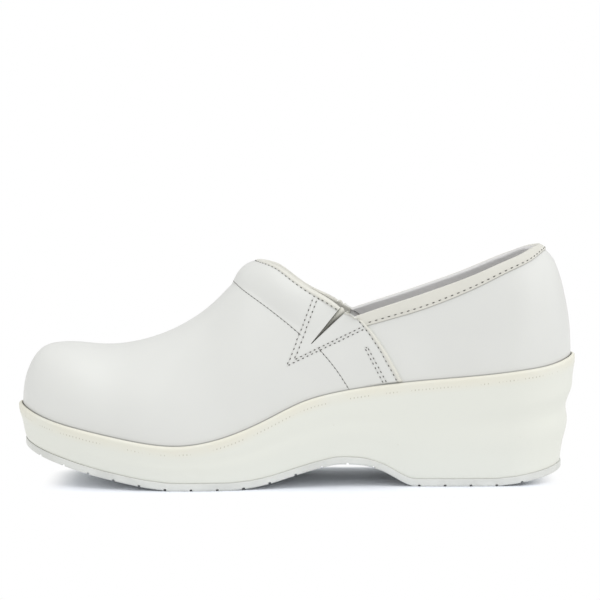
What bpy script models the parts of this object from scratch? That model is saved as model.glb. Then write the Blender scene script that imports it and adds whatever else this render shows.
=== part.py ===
"""Left closed-back clog: a white leather upper with side notches and gores on a thick wedge sole.

Metres, +Z up. The toe points to -X, the outer (lateral) side to -Y, and the floor is z = 0.
The last's tables hold shares of the named sizes, so every section follows them.
"""

import bmesh
import bpy
import numpy as np

# Length and widths
SHOE_LENGTH = 0.2674
BALL_WIDTH = 0.0950
HEEL_WIDTH = 0.0666
RIM_OVERHANG = 0.0020
TOE_ROUNDING = 0.045
HEEL_ROUNDING = 0.031

# Heights of the last above the floor
TOE_FLOOR_HEIGHT = 0.0290
TOE_BOX_HEIGHT = 0.0650
THROAT_HEIGHT = 0.1040
CONE_HEIGHT = 0.1310
HEEL_SEAT_HEIGHT = 0.0495
HEEL_TOP_HEIGHT = 0.1119
COLLAR_DIP_HEIGHT = 0.0792
MEDIAL_THROAT_DROP = 0.0020

# Sole
FOREFOOT_RIM = 0.0208
TOE_RIM = 0.0368
HEEL_RIM = 0.0608
CUP_DEPTH = 0.0055
TOE_SPRING = 0.0173
ARCH_HEIGHT = 0.0107
HEEL_LIFT = 0.0060
OUTSOLE_THICKNESS = 0.0036
OUTSOLE_PROUD = 0.0005
OUTSOLE_EDGE_RADIUS = 0.0010
OUTSOLE_EDGE_BEVEL = 0.0003
SIDE_TAPER = 0.0018
HEEL_SIDE_TAPER = 0.0030
TOE_TAPER = 0.0038
HEEL_TAPER = 0.0069
TAPER_TURN = 1.5
LIP_RADIUS = 0.0016
TREAD_PITCH = 0.0121
TREAD_GROOVE_WIDTH = 0.0012
TREAD_GROOVE_DEPTH = 0.0009
TREAD_CHANNEL_WIDTH = 0.0030
TREAD_CHANNEL_DEPTH = 0.0008
CUTTER_REACH = 0.0095

# Upper, gores, binding and insole
CLEARANCE = 0.0003
WALL = 0.0024
VAMP_EDGE_STEP = 0.0013
VAMP_EDGE_FADE = 0.0200
VAMP_EDGE_BEVEL = 0.0004
PAD_RISE = 0.0024
PAD_DEPTH = 0.0180
PAD_ROLL = 0.0023
THROAT_EDGE_ROLL = 0.0007
GORE_THICKNESS = 0.0012
BINDING_THICKNESS = 0.0007
BINDING_DEPTH = 0.0070
BINDING_BACK_DEPTH = 0.0048
BINDING_START = 0.0012
BINDING_SHOULDER = 0.7
INSOLE_THICKNESS = 0.0034
INSOLE_EDGE_HEIGHT = 0.0026
INSOLE_BEVEL = 0.0008

# Numbers of mesh stations
SOLE_STATIONS = 35
CHANNEL_STATIONS = 30
VAMP_COLUMNS = 24
QUARTER_COLUMNS = 16
UPPER_ROWS = 10
GORE_STATIONS = 6

# Numbers of samples along the dense lines that the meshes are taken from
CREST_SAMPLES = 4000
PLAN_SAMPLES = 1200
EDGE_SAMPLES = 500
PATH_SAMPLES = 400
RIB_SAMPLES = 260
RIB_FOOT_SAMPLES = 12

# Rows of the upper below its top edge and above the sole's rim, and turns of the sole's lip
TOP_ROWS = (0.019, 0.013)
RIM_ROWS = (0.00035, 0.0009)
TOE_ROW_CROWDING = 1.7
LIP_TURNS = (0, 35, 65, 90)

LAST_LENGTH = SHOE_LENGTH - 2 * RIM_OVERHANG
BALL_HALF = BALL_WIDTH / 2 - RIM_OVERHANG
HEEL_HALF = HEEL_WIDTH / 2 - RIM_OVERHANG
LATERAL, MEDIAL = -1, 1


class Table:
    """Rows of numbers under named columns. The first column says where each row stands."""

    def __init__(self, columns, rows):
        self.columns = columns.split()
        self.rows = np.array(rows, dtype=float)

    def column(self, name):
        return self.rows[:, self.columns.index(name)]

    def smooth(self, name):
        return smooth_curve(self.rows[:, 0], self.column(name))

    def steady(self, name):
        return steady_curve(self.rows[:, 0], self.column(name))


def smooth_curve(at, value):
    """A curve through the points with no kink in its slope or bend."""
    at, value = np.asarray(at, float), np.asarray(value, float)
    step = np.diff(at)
    slope = np.diff(value) / step
    count = len(at)
    matrix, right = np.eye(count), np.zeros(count)
    for i in range(1, count - 1):
        matrix[i, i - 1:i + 2] = step[i - 1], 2 * (step[i - 1] + step[i]), step[i]
        right[i] = 6 * (slope[i] - slope[i - 1])
    bend = np.linalg.solve(matrix, right)

    def curve(x):
        x = np.clip(np.asarray(x, float), at[0], at[-1])
        i = np.clip(np.searchsorted(at, x) - 1, 0, count - 2)
        a, b, h = at[i + 1] - x, x - at[i], step[i]
        line = value[i] * a / h + value[i + 1] * b / h
        return line + (bend[i] * a * (a * a / h - h) + bend[i + 1] * b * (b * b / h - h)) / 6

    return curve


def steady_curve(at, value):
    """A curve through the points that never swings past them and keeps a flat stretch flat."""
    at, value = np.asarray(at, float), np.asarray(value, float)
    step = np.diff(at)
    slope = np.diff(value) / step
    tangent = np.zeros(len(at))
    tangent[0], tangent[-1] = slope[0], slope[-1]
    for i in range(1, len(at) - 1):
        if slope[i - 1] * slope[i] > 0:
            near, far = 2 * step[i] + step[i - 1], step[i] + 2 * step[i - 1]
            tangent[i] = (near + far) / (near / slope[i - 1] + far / slope[i])

    def curve(x):
        x = np.clip(np.asarray(x, float), at[0], at[-1])
        i = np.clip(np.searchsorted(at, x) - 1, 0, len(at) - 2)
        t = (x - at[i]) / step[i]
        start = value[i] * (1 + 2 * t) * (1 - t) ** 2 + tangent[i] * step[i] * t * (1 - t) ** 2
        end = value[i + 1] * t * t * (3 - 2 * t) + tangent[i + 1] * step[i] * t * t * (t - 1)
        return start + end

    return curve


def ease(value, start, end):
    """0 before start, 1 after end, and a smooth change between them."""
    t = np.clip((np.asarray(value, float) - start) / (end - start), 0, 1)
    return t * t * (3 - 2 * t)


def mix(a, b, weight):
    return a + (b - a) * weight


# Sections of the last along its length. Widths are shares of the half width at the ball or the
# heel, weighted by the ball column; the centre line is a share of the half width at the ball.
LAST = Table("share ball centre lateral medial fullness", [
    (0.000, 1.00, 0.110, 0.820, 0.810, 0.36),
    (0.060, 1.00, 0.110, 0.895, 0.840, 0.37),
    (0.100, 1.00, 0.105, 0.925, 0.842, 0.38),
    (0.160, 1.00, 0.100, 0.974, 0.873, 0.40),
    (0.215, 1.00, 0.092, 1.053, 0.908, 0.42),
    (0.270, 1.00, 0.084, 1.084, 0.900, 0.44),
    (0.350, 1.00, 0.070, 1.064, 0.840, 0.46),
    (0.425, 0.80, 0.057, 1.045, 0.804, 0.49),
    (0.500, 0.50, 0.044, 1.031, 0.807, 0.50),
    (0.575, 0.25, 0.030, 1.010, 0.844, 0.48),
    (0.650, 0.00, 0.020, 1.026, 0.930, 0.45),
    (0.730, 0.00, 0.011, 1.000, 0.962, 0.42),
    (0.800, 0.00, 0.004, 1.003, 0.990, 0.41),
    (0.880, 0.00, 0.000, 1.000, 1.000, 0.40),
    (1.000, 0.00, 0.000, 0.990, 0.990, 0.40),
])

# Crest of the last, by zones: rise from the first height of a zone to its second
TOE_CREST = Table("share rise", [
    (0.0000, 0.250), (0.0019, 0.417), (0.0057, 0.556), (0.0122, 0.683), (0.0216, 0.811),
    (0.0338, 0.911), (0.0482, 0.967), (0.0687, 0.994), (0.0907, 1.000), (0.1280, 0.978),
    (0.1636, 0.967),
])
VAMP_CREST = Table("share rise", [
    (0.2077, 0.008), (0.2517, 0.092), (0.2954, 0.228), (0.3394, 0.428), (0.3834, 0.718),
    (0.4127, 0.905), (0.4355, 1.000),
])
CONE_CREST = Table("share rise", [
    (0.5000, 0.296), (0.5950, 0.630), (0.6900, 0.870), (0.7850, 1.000), (0.8610, 0.944),
    (0.9024, 0.752), (0.9290, 0.407),
])
BACK_CREST = Table("share rise", [
    (0.9366, 1.016), (0.9419, 1.000), (0.9480, 0.983), (0.9533, 0.963), (0.9593, 0.939),
    (0.9646, 0.912), (0.9685, 0.887), (0.9715, 0.859), (0.9768, 0.800), (0.9795, 0.766),
    (0.9882, 0.623), (0.9951, 0.473), (0.9985, 0.344), (0.9996, 0.248), (1.0000, 0.136),
])

# Top edge of the upper: the throat from its middle to the dip, and the collar from there back
THROAT_EDGE = Table("share rise", [
    (0.4355, 1.000), (0.4708, 0.899), (0.4996, 0.694), (0.5285, 0.500), (0.5570, 0.323),
    (0.5755, 0.186), (0.5877, 0.105), (0.6044, 0.000),
])
COLLAR_EDGE = Table("share rise", [
    (0.6044, 0.000), (0.6488, 0.117), (0.7198, 0.297), (0.7483, 0.376), (0.8231, 0.603),
    (0.8747, 0.783), (0.9157, 0.919), (0.9300, 0.970), (0.9419, 1.000),
])
VAMP_EDGE_FOOT_SHARE = 0.6974
VAMP_EDGE_SWEEP = 0.70
VAMP_EDGE_SWEEP_REACH = 0.45
COLLAR_SPREAD = 0.80

# Zones along the last where the ribs turn from plan lines to side-view lines and back, and where
# the rows crowd towards the toe. Then zones by place, from 0 at the toe to 2 at the heel.
RIB_SIDE_ZONE = (0.52, 0.675)
RIB_BACK_ZONE = (0.90, 0.99)
RIB_PLAN_LEAN = 5
TOE_ROW_ZONE = (0.05, 0.35)
PAD_FADE_ZONE = (0.52, 0.85)
ROLL_FADE_ZONE = (0.90, 1.00)
BINDING_NARROW_ZONE = (1.75, 2.00)
EDGE_GAP_PER_THROAT = 1.6

# Rim of the midsole along the shoe: toe and heel lifts, and the depth of the cup
RIM = Table("share toe heel cup", [
    (0.000, 1.000, 0.000, 1.35), (0.036, 0.770, 0.000, 1.20), (0.115, 0.444, 0.000, 1.00),
    (0.196, 0.185, 0.000, 1.00), (0.248, 0.050, 0.000, 1.00), (0.287, 0.000, 0.000, 1.00),
    (0.352, 0.000, 0.053, 1.00), (0.404, 0.000, 0.163, 1.00), (0.455, 0.000, 0.315, 1.00),
    (0.507, 0.000, 0.480, 1.00), (0.560, 0.000, 0.582, 1.00), (0.647, 0.000, 0.672, 1.00),
    (0.734, 0.000, 0.732, 1.00), (0.859, 0.000, 0.812, 1.00), (0.897, 0.000, 0.845, 1.10),
    (0.957, 0.000, 0.910, 1.50), (1.000, 0.000, 1.000, 2.10),
])

# Underside of the outsole along the shoe: shares of toe spring, arch height and heel lift
UNDERSIDE = Table("share toe arch heel", [
    (0.000, 1.000, 0.000, 0.000), (0.025, 0.844, 0.000, 0.000), (0.057, 0.694, 0.000, 0.000),
    (0.087, 0.578, 0.000, 0.000), (0.124, 0.434, 0.000, 0.000), (0.160, 0.306, 0.000, 0.000),
    (0.196, 0.197, 0.000, 0.000), (0.248, 0.064, 0.000, 0.000), (0.291, 0.000, 0.000, 0.000),
    (0.380, 0.000, 0.000, 0.000), (0.418, 0.000, 0.065, 0.000), (0.455, 0.000, 0.243, 0.000),
    (0.507, 0.000, 0.617, 0.000), (0.542, 0.000, 0.850, 0.000), (0.577, 0.000, 1.000, 0.000),
    (0.612, 0.000, 0.953, 0.000), (0.647, 0.000, 0.720, 0.000), (0.674, 0.000, 0.374, 0.000),
    (0.691, 0.000, 0.140, 0.000), (0.709, 0.000, 0.000, 0.000), (0.844, 0.000, 0.000, 0.000),
    (0.878, 0.000, 0.000, 0.130), (0.911, 0.000, 0.000, 0.350), (0.943, 0.000, 0.000, 0.600),
    (0.965, 0.000, 0.000, 0.820), (1.000, 0.000, 0.000, 1.200),
])

# Side of the midsole from its bottom to under the lip: shares of the taper there
SIDE_PROFILE = Table("height side toe heel", [
    (0.00, 1.00, 1.00, 1.00), (0.10, 0.85, 0.80, 0.92), (0.22, 0.70, 0.68, 0.74),
    (0.33, 0.50, 0.59, 0.54), (0.42, 0.42, 0.50, 0.54), (0.50, 0.40, 0.42, 0.62),
    (0.58, 0.32, 0.31, 0.50), (0.66, 0.22, 0.18, 0.25), (0.78, 0.10, 0.06, 0.15),
    (0.90, 0.00, 0.00, 0.02),
])
HEEL_PROFILE_ZONE = (0.724, 0.911)

# Notch at each side of the throat, and the gore behind it, by their corners in side view
NOTCH = Table("share rise", [(0.5266, -0.478), (0.5279, -0.484), (0.6025, 0.242), (0.5858, 0.286)])
GORE = Table("share rise", [(0.511, -0.69), (0.591, -0.77), (0.6000, 0.02), (0.534, 0.42)])
NOTCH_REACH = (0.010, 0.060)

TREAD_ZONES = Table("start end", [(0.0475, 0.650), (0.716, 0.906)])
TREAD_CHANNEL_ZONE = (0.070, 0.890)


def last_x(share):
    return LAST_LENGTH * (np.asarray(share, float) - 0.5)


def shoe_x(share):
    return SHOE_LENGTH * (np.asarray(share, float) - 0.5)


def crest_line():
    """The crest as one dense line, smooth through the four zones."""
    zones = [(TOE_CREST, TOE_FLOOR_HEIGHT, TOE_BOX_HEIGHT),
             (VAMP_CREST, TOE_BOX_HEIGHT, THROAT_HEIGHT),
             (CONE_CREST, THROAT_HEIGHT, CONE_HEIGHT),
             (BACK_CREST, HEEL_SEAT_HEIGHT, HEEL_TOP_HEIGHT)]
    x = np.concatenate([last_x(table.column("share")) for table, _, _ in zones])
    z = np.concatenate([mix(low, high, table.column("rise")) for table, low, high in zones])
    along = np.concatenate([[0], np.cumsum(np.hypot(np.diff(x), np.diff(z)))])
    dense = np.linspace(0, along[-1], CREST_SAMPLES)
    return steady_curve(along, x)(dense), smooth_curve(along, z)(dense)


CREST_X, CREST_Z = crest_line()
CURVE = {name: LAST.smooth(name) for name in LAST.columns[1:]}
RIM_TOE, RIM_HEEL, RIM_CUP = RIM.smooth("toe"), RIM.smooth("heel"), RIM.steady("cup")
SPRING, ARCH, LIFT = (UNDERSIDE.steady(name) for name in ("toe", "arch", "heel"))


def crest(x):
    return np.interp(x, CREST_X, CREST_Z)


def rim(x):
    share = np.asarray(x, float) / SHOE_LENGTH + 0.5
    toe, heel = RIM_TOE(share), RIM_HEEL(share)
    return FOREFOOT_RIM + toe * (TOE_RIM - FOREFOOT_RIM) + heel * (HEEL_RIM - FOREFOOT_RIM)


def cup_floor(x):
    return rim(x) - CUP_DEPTH * RIM_CUP(np.asarray(x, float) / SHOE_LENGTH + 0.5)


def underside(x):
    share = np.asarray(x, float) / SHOE_LENGTH + 0.5
    return SPRING(share) * TOE_SPRING + ARCH(share) * ARCH_HEIGHT + LIFT(share) * HEEL_LIFT


def centre(x):
    return CURVE["centre"](np.asarray(x, float) / LAST_LENGTH + 0.5) * BALL_HALF


def fullness(x):
    return CURVE["fullness"](np.asarray(x, float) / LAST_LENGTH + 0.5)


def half_width(x, side):
    """Half width of the last at the cup's floor, rounded off at the toe and the heel."""
    x = np.asarray(x, float)
    share = x / LAST_LENGTH + 0.5
    reference = mix(HEEL_HALF, BALL_HALF, CURVE["ball"](share))
    wide = reference * CURVE["lateral" if side == LATERAL else "medial"](share)
    toe = np.clip((x + LAST_LENGTH / 2) / TOE_ROUNDING, 0, 1)
    heel = np.clip((LAST_LENGTH / 2 - x) / HEEL_ROUNDING, 0, 1)
    return wide * np.sqrt(1 - (1 - toe) ** 2) * np.sqrt(1 - (1 - heel) ** 2)


def form_point(x, angle, side):
    """A point of the last's surface: angle 0 at the cup's floor, a quarter turn at the crest."""
    y = centre(x) + side * half_width(x, side) * np.cos(angle)
    low = cup_floor(x)
    z = low + (crest(x) - low) * np.sin(angle) ** (2 * fullness(x))
    return np.stack([x, y, z], axis=-1)


def form_angle(x, z):
    """The angle of the last's surface at a place in side view."""
    low = cup_floor(x)
    rise = np.clip((z - low) / (crest(x) - low), 0, 1)
    return np.arcsin(np.clip(rise ** (1 / (2 * fullness(x))), 0, 1))


def arc_lengths(points):
    return np.concatenate([[0], np.cumsum(np.linalg.norm(np.diff(points, axis=0), axis=1))])


def sole_outline(count):
    """Stations of the last's plan outline on both sides, and the plan normals there."""
    turn = np.linspace(0, np.pi, PLAN_SAMPLES)
    x = -LAST_LENGTH / 2 * np.cos(turn)
    sides, arcs = {}, []
    for side in (LATERAL, MEDIAL):
        line = np.stack([x, centre(x) + side * half_width(x, side)], axis=-1)
        along = np.gradient(line, axis=0)
        normal = np.stack([-side * along[:, 1], side * along[:, 0]], axis=-1)
        normal[0], normal[-1] = (-1, 0), (1, 0)
        sides[side] = line, normal / np.linalg.norm(normal, axis=1)[:, None]
        arcs.append(arc_lengths(line))
    mean = np.mean(arcs, axis=0)
    at = np.linspace(0, mean[-1], count + 1)
    outline = {}
    for side, (line, normal) in sides.items():
        outline[side] = tuple(np.stack([np.interp(at, mean, item[:, k]) for k in (0, 1)], axis=-1)
                              for item in (line, normal))
    return outline


def loop(sides):
    """One closed loop: the lateral side from toe to heel, then the medial side back."""
    return np.concatenate([sides[LATERAL], sides[MEDIAL][-2:0:-1]])


def outline_loops(count):
    outline = sole_outline(count)
    return loop({s: outline[s][0] for s in outline}), loop({s: outline[s][1] for s in outline})


class Solid:
    """Collects rings of points and joins them into one closed mesh."""

    def __init__(self):
        self.mesh = bmesh.new()

    def ring(self, points):
        return [self.mesh.verts.new(point) for point in points]

    def join(self, first, second, closed=True):
        count = len(first)
        for i in range(count if closed else count - 1):
            j = (i + 1) % count
            self.mesh.faces.new((first[i], first[j], second[j], second[i]))

    def cover(self, ring):
        """Close a toe to heel ring with strips from side to side."""
        count, half = len(ring), len(ring) // 2
        for i in range(half):
            left = ring[i], ring[i + 1]
            right = ring[(count - i) % count], ring[(count - i - 1) % count]
            corners = [left[0], left[1], right[1], right[0]]
            self.mesh.faces.new(list(dict.fromkeys(corners)))

    def finish(self, name, material, sharp=40):
        bmesh.ops.recalc_face_normals(self.mesh, faces=self.mesh.faces)
        data = bpy.data.meshes.new(name)
        self.mesh.to_mesh(data)
        self.mesh.free()
        data.shade_smooth()
        data.set_sharp_from_angle(angle=np.radians(sharp))
        solid = bpy.data.objects.new(name, data)
        bpy.context.scene.collection.objects.link(solid)
        if material:
            data.materials.append(material)
        return solid


def material(name, colour, roughness):
    made = bpy.data.materials.new(name)
    made.use_nodes = True
    shader = made.node_tree.nodes["Principled BSDF"]
    shader.inputs["Base Color"].default_value = (*colour, 1)
    shader.inputs["Roughness"].default_value = roughness
    shader.inputs["Metallic"].default_value = 0
    return made


def cut(target, cutter, name):
    """Cut one solid out of another with an exact Boolean, and keep the cutter as a guide."""
    cutter.hide_render = True
    cutter.display_type = "WIRE"
    boolean = target.modifiers.new(name, "BOOLEAN")
    boolean.operation = "DIFFERENCE"
    boolean.solver = "EXACT"
    boolean.object = cutter


def taper_at(x, normal, height):
    """How far the midsole's side lies inside its widest line at a share of its height."""
    row = {name: SIDE_PROFILE.smooth(name)(height) for name in ("side", "toe", "heel")}
    toe = np.clip(-normal[:, 0], 0, 1) ** TAPER_TURN
    heel = np.clip(normal[:, 0], 0, 1) ** TAPER_TURN
    back = ease(x, *shoe_x(HEEL_PROFILE_ZONE))
    side = mix(SIDE_TAPER, HEEL_SIDE_TAPER, back) * mix(row["side"], row["heel"], back)
    return toe * TOE_TAPER * row["toe"] + heel * HEEL_TAPER * row["heel"] + (1 - toe - heel) * side


def midsole_bottom(x):
    return underside(x) + OUTSOLE_THICKNESS + CLEARANCE


def make_midsole(finish):
    """Wedge midsole: tapered sides with a soft groove at the heel, a rolled lip and a cup on top."""
    line, normal = outline_loops(SOLE_STATIONS)
    solid = Solid()

    def ring(offset, height, drop=0.0):
        plan = line + normal * np.reshape(offset, (-1, 1))
        low, high = midsole_bottom(plan[:, 0]), rim(plan[:, 0])
        z = mix(low, high, height) - drop
        return solid.ring(np.column_stack([plan, z]))

    rings = []
    for height in SIDE_PROFILE.column("height"):
        rings.append(ring(RIM_OVERHANG - taper_at(line[:, 0], normal, height), height))
    for turn in np.radians(LIP_TURNS):
        inward = LIP_RADIUS * (1 - np.cos(turn))
        rings.append(ring(RIM_OVERHANG - inward, 1, LIP_RADIUS * (1 - np.sin(turn))))
    rings.append(ring(CLEARANCE, 1))
    plan = line + normal * CLEARANCE
    rings.append(solid.ring(np.column_stack([plan, cup_floor(plan[:, 0])])))
    for low, high in zip(rings, rings[1:]):
        solid.join(low, high)
    solid.cover(rings[0])
    solid.cover(rings[-1])
    return solid.finish("midsole", finish)


def make_outsole(finish):
    """Thin outsole, a little proud of the midsole, with its treads cut across and a channel."""
    line, normal = outline_loops(SOLE_STATIONS)
    reach = RIM_OVERHANG - taper_at(line[:, 0], normal, 0.0) + OUTSOLE_PROUD
    solid = Solid()
    rings = []
    radius, bevel = OUTSOLE_EDGE_RADIUS, OUTSOLE_EDGE_BEVEL
    for inset, rise in ((radius, 0.0), (bevel, bevel), (0.0, radius), (0.0, OUTSOLE_THICKNESS)):
        plan = line + normal * (reach - inset)[:, None]
        rings.append(solid.ring(np.column_stack([plan, underside(plan[:, 0]) + rise])))
    for low, high in zip(rings, rings[1:]):
        solid.join(low, high)
    solid.cover(rings[0])
    solid.cover(rings[-1])
    outsole = solid.finish("outsole", finish)
    cut(outsole, make_tread_cutter(), "treads")
    cut(outsole, make_channel_cutter(), "channel")
    return outsole


def tread_stations():
    stations = []
    for start, end in shoe_x(TREAD_ZONES.rows):
        stations.extend(np.arange(start, end, TREAD_PITCH))
    return stations


def make_tread_cutter():
    """Bars across the sole, each square to the underside where it cuts."""
    solid = Solid()
    half = TREAD_GROOVE_WIDTH / 2
    for x in tread_stations():
        slope = (underside(x + half) - underside(x - half)) / TREAD_GROOVE_WIDTH
        along = np.array([1, 0, slope]) / np.hypot(1, slope)
        up = np.array([-along[2], 0, along[0]])
        foot = np.array([x, 0, underside(x)])
        corners = [foot + along * a + up * b for a, b in
                   ((-half, -CUTTER_REACH), (half, -CUTTER_REACH),
                    (half, TREAD_GROOVE_DEPTH), (-half, TREAD_GROOVE_DEPTH))]
        ends = [solid.ring([corner + np.array([0, y, 0]) for corner in corners])
                for y in (-BALL_WIDTH, BALL_WIDTH)]
        solid.join(*ends)
        for end in ends:
            solid.mesh.faces.new(end)
    return solid.finish("tread_cutter", None)


def make_channel_cutter():
    """One channel along the middle of the sole."""
    solid = Solid()
    half = TREAD_CHANNEL_WIDTH / 2
    rings = []
    for x in np.linspace(*shoe_x(TREAD_CHANNEL_ZONE), CHANNEL_STATIONS):
        low = underside(x) - CUTTER_REACH
        high = underside(x) + TREAD_CHANNEL_DEPTH
        middle = centre(x)
        rings.append(solid.ring([(x, middle - half, low), (x, middle + half, low),
                                 (x, middle + half, high), (x, middle - half, high)]))
    for first, second in zip(rings, rings[1:]):
        solid.join(first, second)
    solid.mesh.faces.new(rings[0])
    solid.mesh.faces.new(rings[-1])
    return solid.finish("channel_cutter", None)


def make_insole(finish):
    """Footbed on the floor of the cup, inside the upper's wall."""
    line, normal = outline_loops(SOLE_STATIONS)
    side = WALL + 2 * CLEARANCE
    solid = Solid()
    rings = []
    for inset, rise in ((0.0, 0.0), (0.0, INSOLE_EDGE_HEIGHT), (INSOLE_BEVEL, INSOLE_THICKNESS)):
        plan = line - normal * (side + inset)
        z = cup_floor(plan[:, 0]) + CLEARANCE + rise
        rings.append(solid.ring(np.column_stack([plan, z])))
    for low, high in zip(rings, rings[1:]):
        solid.join(low, high)
    solid.cover(rings[0])
    solid.cover(rings[-1])
    return solid.finish("insole", finish)


def top_edge(side):
    """The upper's top edge on one side, as the throat and the collar, each a dense line."""
    u = np.linspace(0, 1, EDGE_SAMPLES)
    lines = []
    for table, high, pace in ((THROAT_EDGE, THROAT_HEIGHT, u ** 2),
                              (COLLAR_EDGE, HEEL_TOP_HEIGHT, 1 - (1 - u) ** 2)):
        share = mix(table.rows[0, 0], table.rows[-1, 0], pace)
        rise = table.smooth("rise")(share)
        x = last_x(share)
        z = mix(COLLAR_DIP_HEIGHT, high, rise)
        if table is THROAT_EDGE and side == MEDIAL:
            z = z - MEDIAL_THROAT_DROP * np.sin(np.pi * pace) ** 2
        angle = form_angle(x, z)
        lines.append((x, angle))
    lines[0][1][0] = np.pi / 2
    lines[1][1][-1] = np.pi / 2
    return [(x, angle, arc_lengths(form_point(x, angle, side))) for x, angle in lines]


def foot_edge(side):
    """The upper's bottom edge on one side, ahead of and behind the foot of the vamp's edge."""
    turn = np.linspace(0, np.pi, PLAN_SAMPLES)
    x = -LAST_LENGTH / 2 * np.cos(turn)
    length = arc_lengths(form_point(x, np.zeros_like(x), side))
    split = np.interp(last_x(VAMP_EDGE_FOOT_SHARE), x, length)
    return x, length, split


EDGES = {side: (top_edge(side), foot_edge(side)) for side in (LATERAL, MEDIAL)}


def evenly(x, angle, side, count):
    """The same path with its samples spaced evenly along it."""
    along = arc_lengths(form_point(x, angle, side))
    at = np.linspace(0, along[-1], count)
    return np.interp(at, along, x), np.interp(at, along, angle)


def rib(side, place):
    """A dense line up the form from its foot to the top edge.

    The place runs from 0 at the toe to 1 at the vamp's back edge and 2 at the back of the heel.
    """
    (throat, collar), (foot_x, foot_length, split) = EDGES[side]
    if place <= 1:
        top, foot_at, top_share = throat, place * split, place
    else:
        top, foot_at = collar, mix(split, foot_length[-1], place - 1)
        top_share = (place - 1) ** COLLAR_SPREAD
    x_foot = np.interp(foot_at, foot_length, foot_x)
    x_top = np.interp(top_share * top[2][-1], top[2], top[0])
    angle_top = np.interp(top_share * top[2][-1], top[2], top[1])
    z_foot, z_top = cup_floor(x_foot), form_point(x_top, angle_top, side)[2]

    t = np.linspace(0, 1, PATH_SAMPLES)
    reach = t ** RIB_PLAN_LEAN
    x = mix(x_foot, x_top, reach)
    out_foot = half_width(x_foot, side)
    out_top = half_width(x_top, side) * np.cos(angle_top)
    width = np.maximum(half_width(x, side), 1e-9)
    angle = np.arccos(np.clip(mix(out_foot, out_top, reach) / width, 0, 1))
    angle[0] = 0
    angle[-1] = angle_top
    in_plan = evenly(x, angle, side, RIB_SAMPLES)

    back = ease(x_foot, *last_x(RIB_BACK_ZONE))
    front = 1 - ease(x_foot, *last_x(RIB_SIDE_ZONE))
    near_edge = 1 - ease(abs(place - 1), 0.0, VAMP_EDGE_SWEEP_REACH)
    sweep = mix(1.0, VAMP_EDGE_SWEEP, near_edge)
    x = x_top + (x_foot - x_top) * (1 - t) ** sweep
    angle = form_angle(x, mix(z_foot, z_top, t))
    angle[0], angle[-1] = 0, angle_top
    in_side_view = evenly(x, angle, side, RIB_SAMPLES)

    weight = (1 - front) * (1 - back)
    x, angle = (mix(a, b, weight) for a, b in zip(in_plan, in_side_view))
    return form_point(x, angle, side)


def point_at(line, along, distance):
    return np.array([np.interp(distance, along, line[:, k]) for k in range(3)])


def binding_depth(place):
    return mix(BINDING_DEPTH, BINDING_BACK_DEPTH, ease(place, *BINDING_NARROW_ZONE))


def row_places(line, along, place):
    """Distances along a rib of the upper's rows, from its bottom edge to the top edge."""
    above = line[:, 2] - rim(line[:, 0])
    floor = cup_floor(line[0, 0])
    foot = slice(RIB_FOOT_SAMPLES)
    bottom = np.interp(floor + CLEARANCE, line[foot, 2], along[foot])
    at_rim = [along[np.argmax(above > height)] for height in RIM_ROWS]
    depth = binding_depth(place)
    top = along[-1] - np.array([*TOP_ROWS, depth, depth / 2, 0.0])
    toe = 1 - ease(line[0, 0], *last_x(TOE_ROW_ZONE))
    share = (np.arange(1, UPPER_ROWS + 1) / (UPPER_ROWS + 1)) ** mix(1.0, TOE_ROW_CROWDING, toe)
    middle = mix(at_rim[1], top[0], share)
    return np.concatenate([[bottom], at_rim, middle, top])


def collar_place(distance):
    """The place of a rib at a distance along the collar from the vamp's back edge."""
    return 1 + (distance / EDGES[LATERAL][0][1][2][-1]) ** (1 / COLLAR_SPREAD)


def upper_columns():
    """Places of the columns on one side, with close ones at the vamp's edge and the binding's end."""
    vamp = np.linspace(0, 1, VAMP_COLUMNS + 1)
    quarter = np.linspace(1, 2, QUARTER_COLUMNS + 1)[1:]
    close = [collar_place(VAMP_EDGE_BEVEL), collar_place(BINDING_START)]
    return np.concatenate([vamp, close, quarter])


def around(places):
    """Side and place of each column of a full loop."""
    return [(LATERAL, p) for p in places] + [(MEDIAL, p) for p in places[-2:0:-1]]


def grid_normals(grid, closed):
    """Outward normals of a grid of points, columns by rows."""
    if closed:
        across = np.roll(grid, -1, axis=0) - np.roll(grid, 1, axis=0)
    else:
        across = np.gradient(grid, axis=0)
    up = np.gradient(grid, axis=1)
    normal = np.cross(across, up)
    return normal / np.linalg.norm(normal, axis=2)[:, :, None]


class Wall:
    """The wall's face as a grid: columns around the foot by rows from the bottom to the top edge."""

    def __init__(self):
        self.columns = around(upper_columns())
        points, below = [], []
        for side, place in self.columns:
            line = rib(side, place)
            along = arc_lengths(line)
            rows = row_places(line, along, place)
            points.append([point_at(line, along, at) for at in rows])
            below.append(along[-1] - rows)
        self.points, self.below = np.array(points), np.array(below)
        self.normals = grid_normals(self.points, closed=True)
        up = self.points[:, -1] - self.points[:, -2]
        self.up = up / np.linalg.norm(up, axis=1)[:, None]

    def at(self, i, depth, offset):
        """A point of column i: its depth below the top edge, and its offset from the face."""
        face = self.points[i] + self.normals[i] * offset
        below = self.below[i][::-1]
        point = [np.interp(depth, below, face[::-1, k]) for k in range(3)]
        return np.array(point) + self.up[i] * max(-depth, 0.0)


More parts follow.
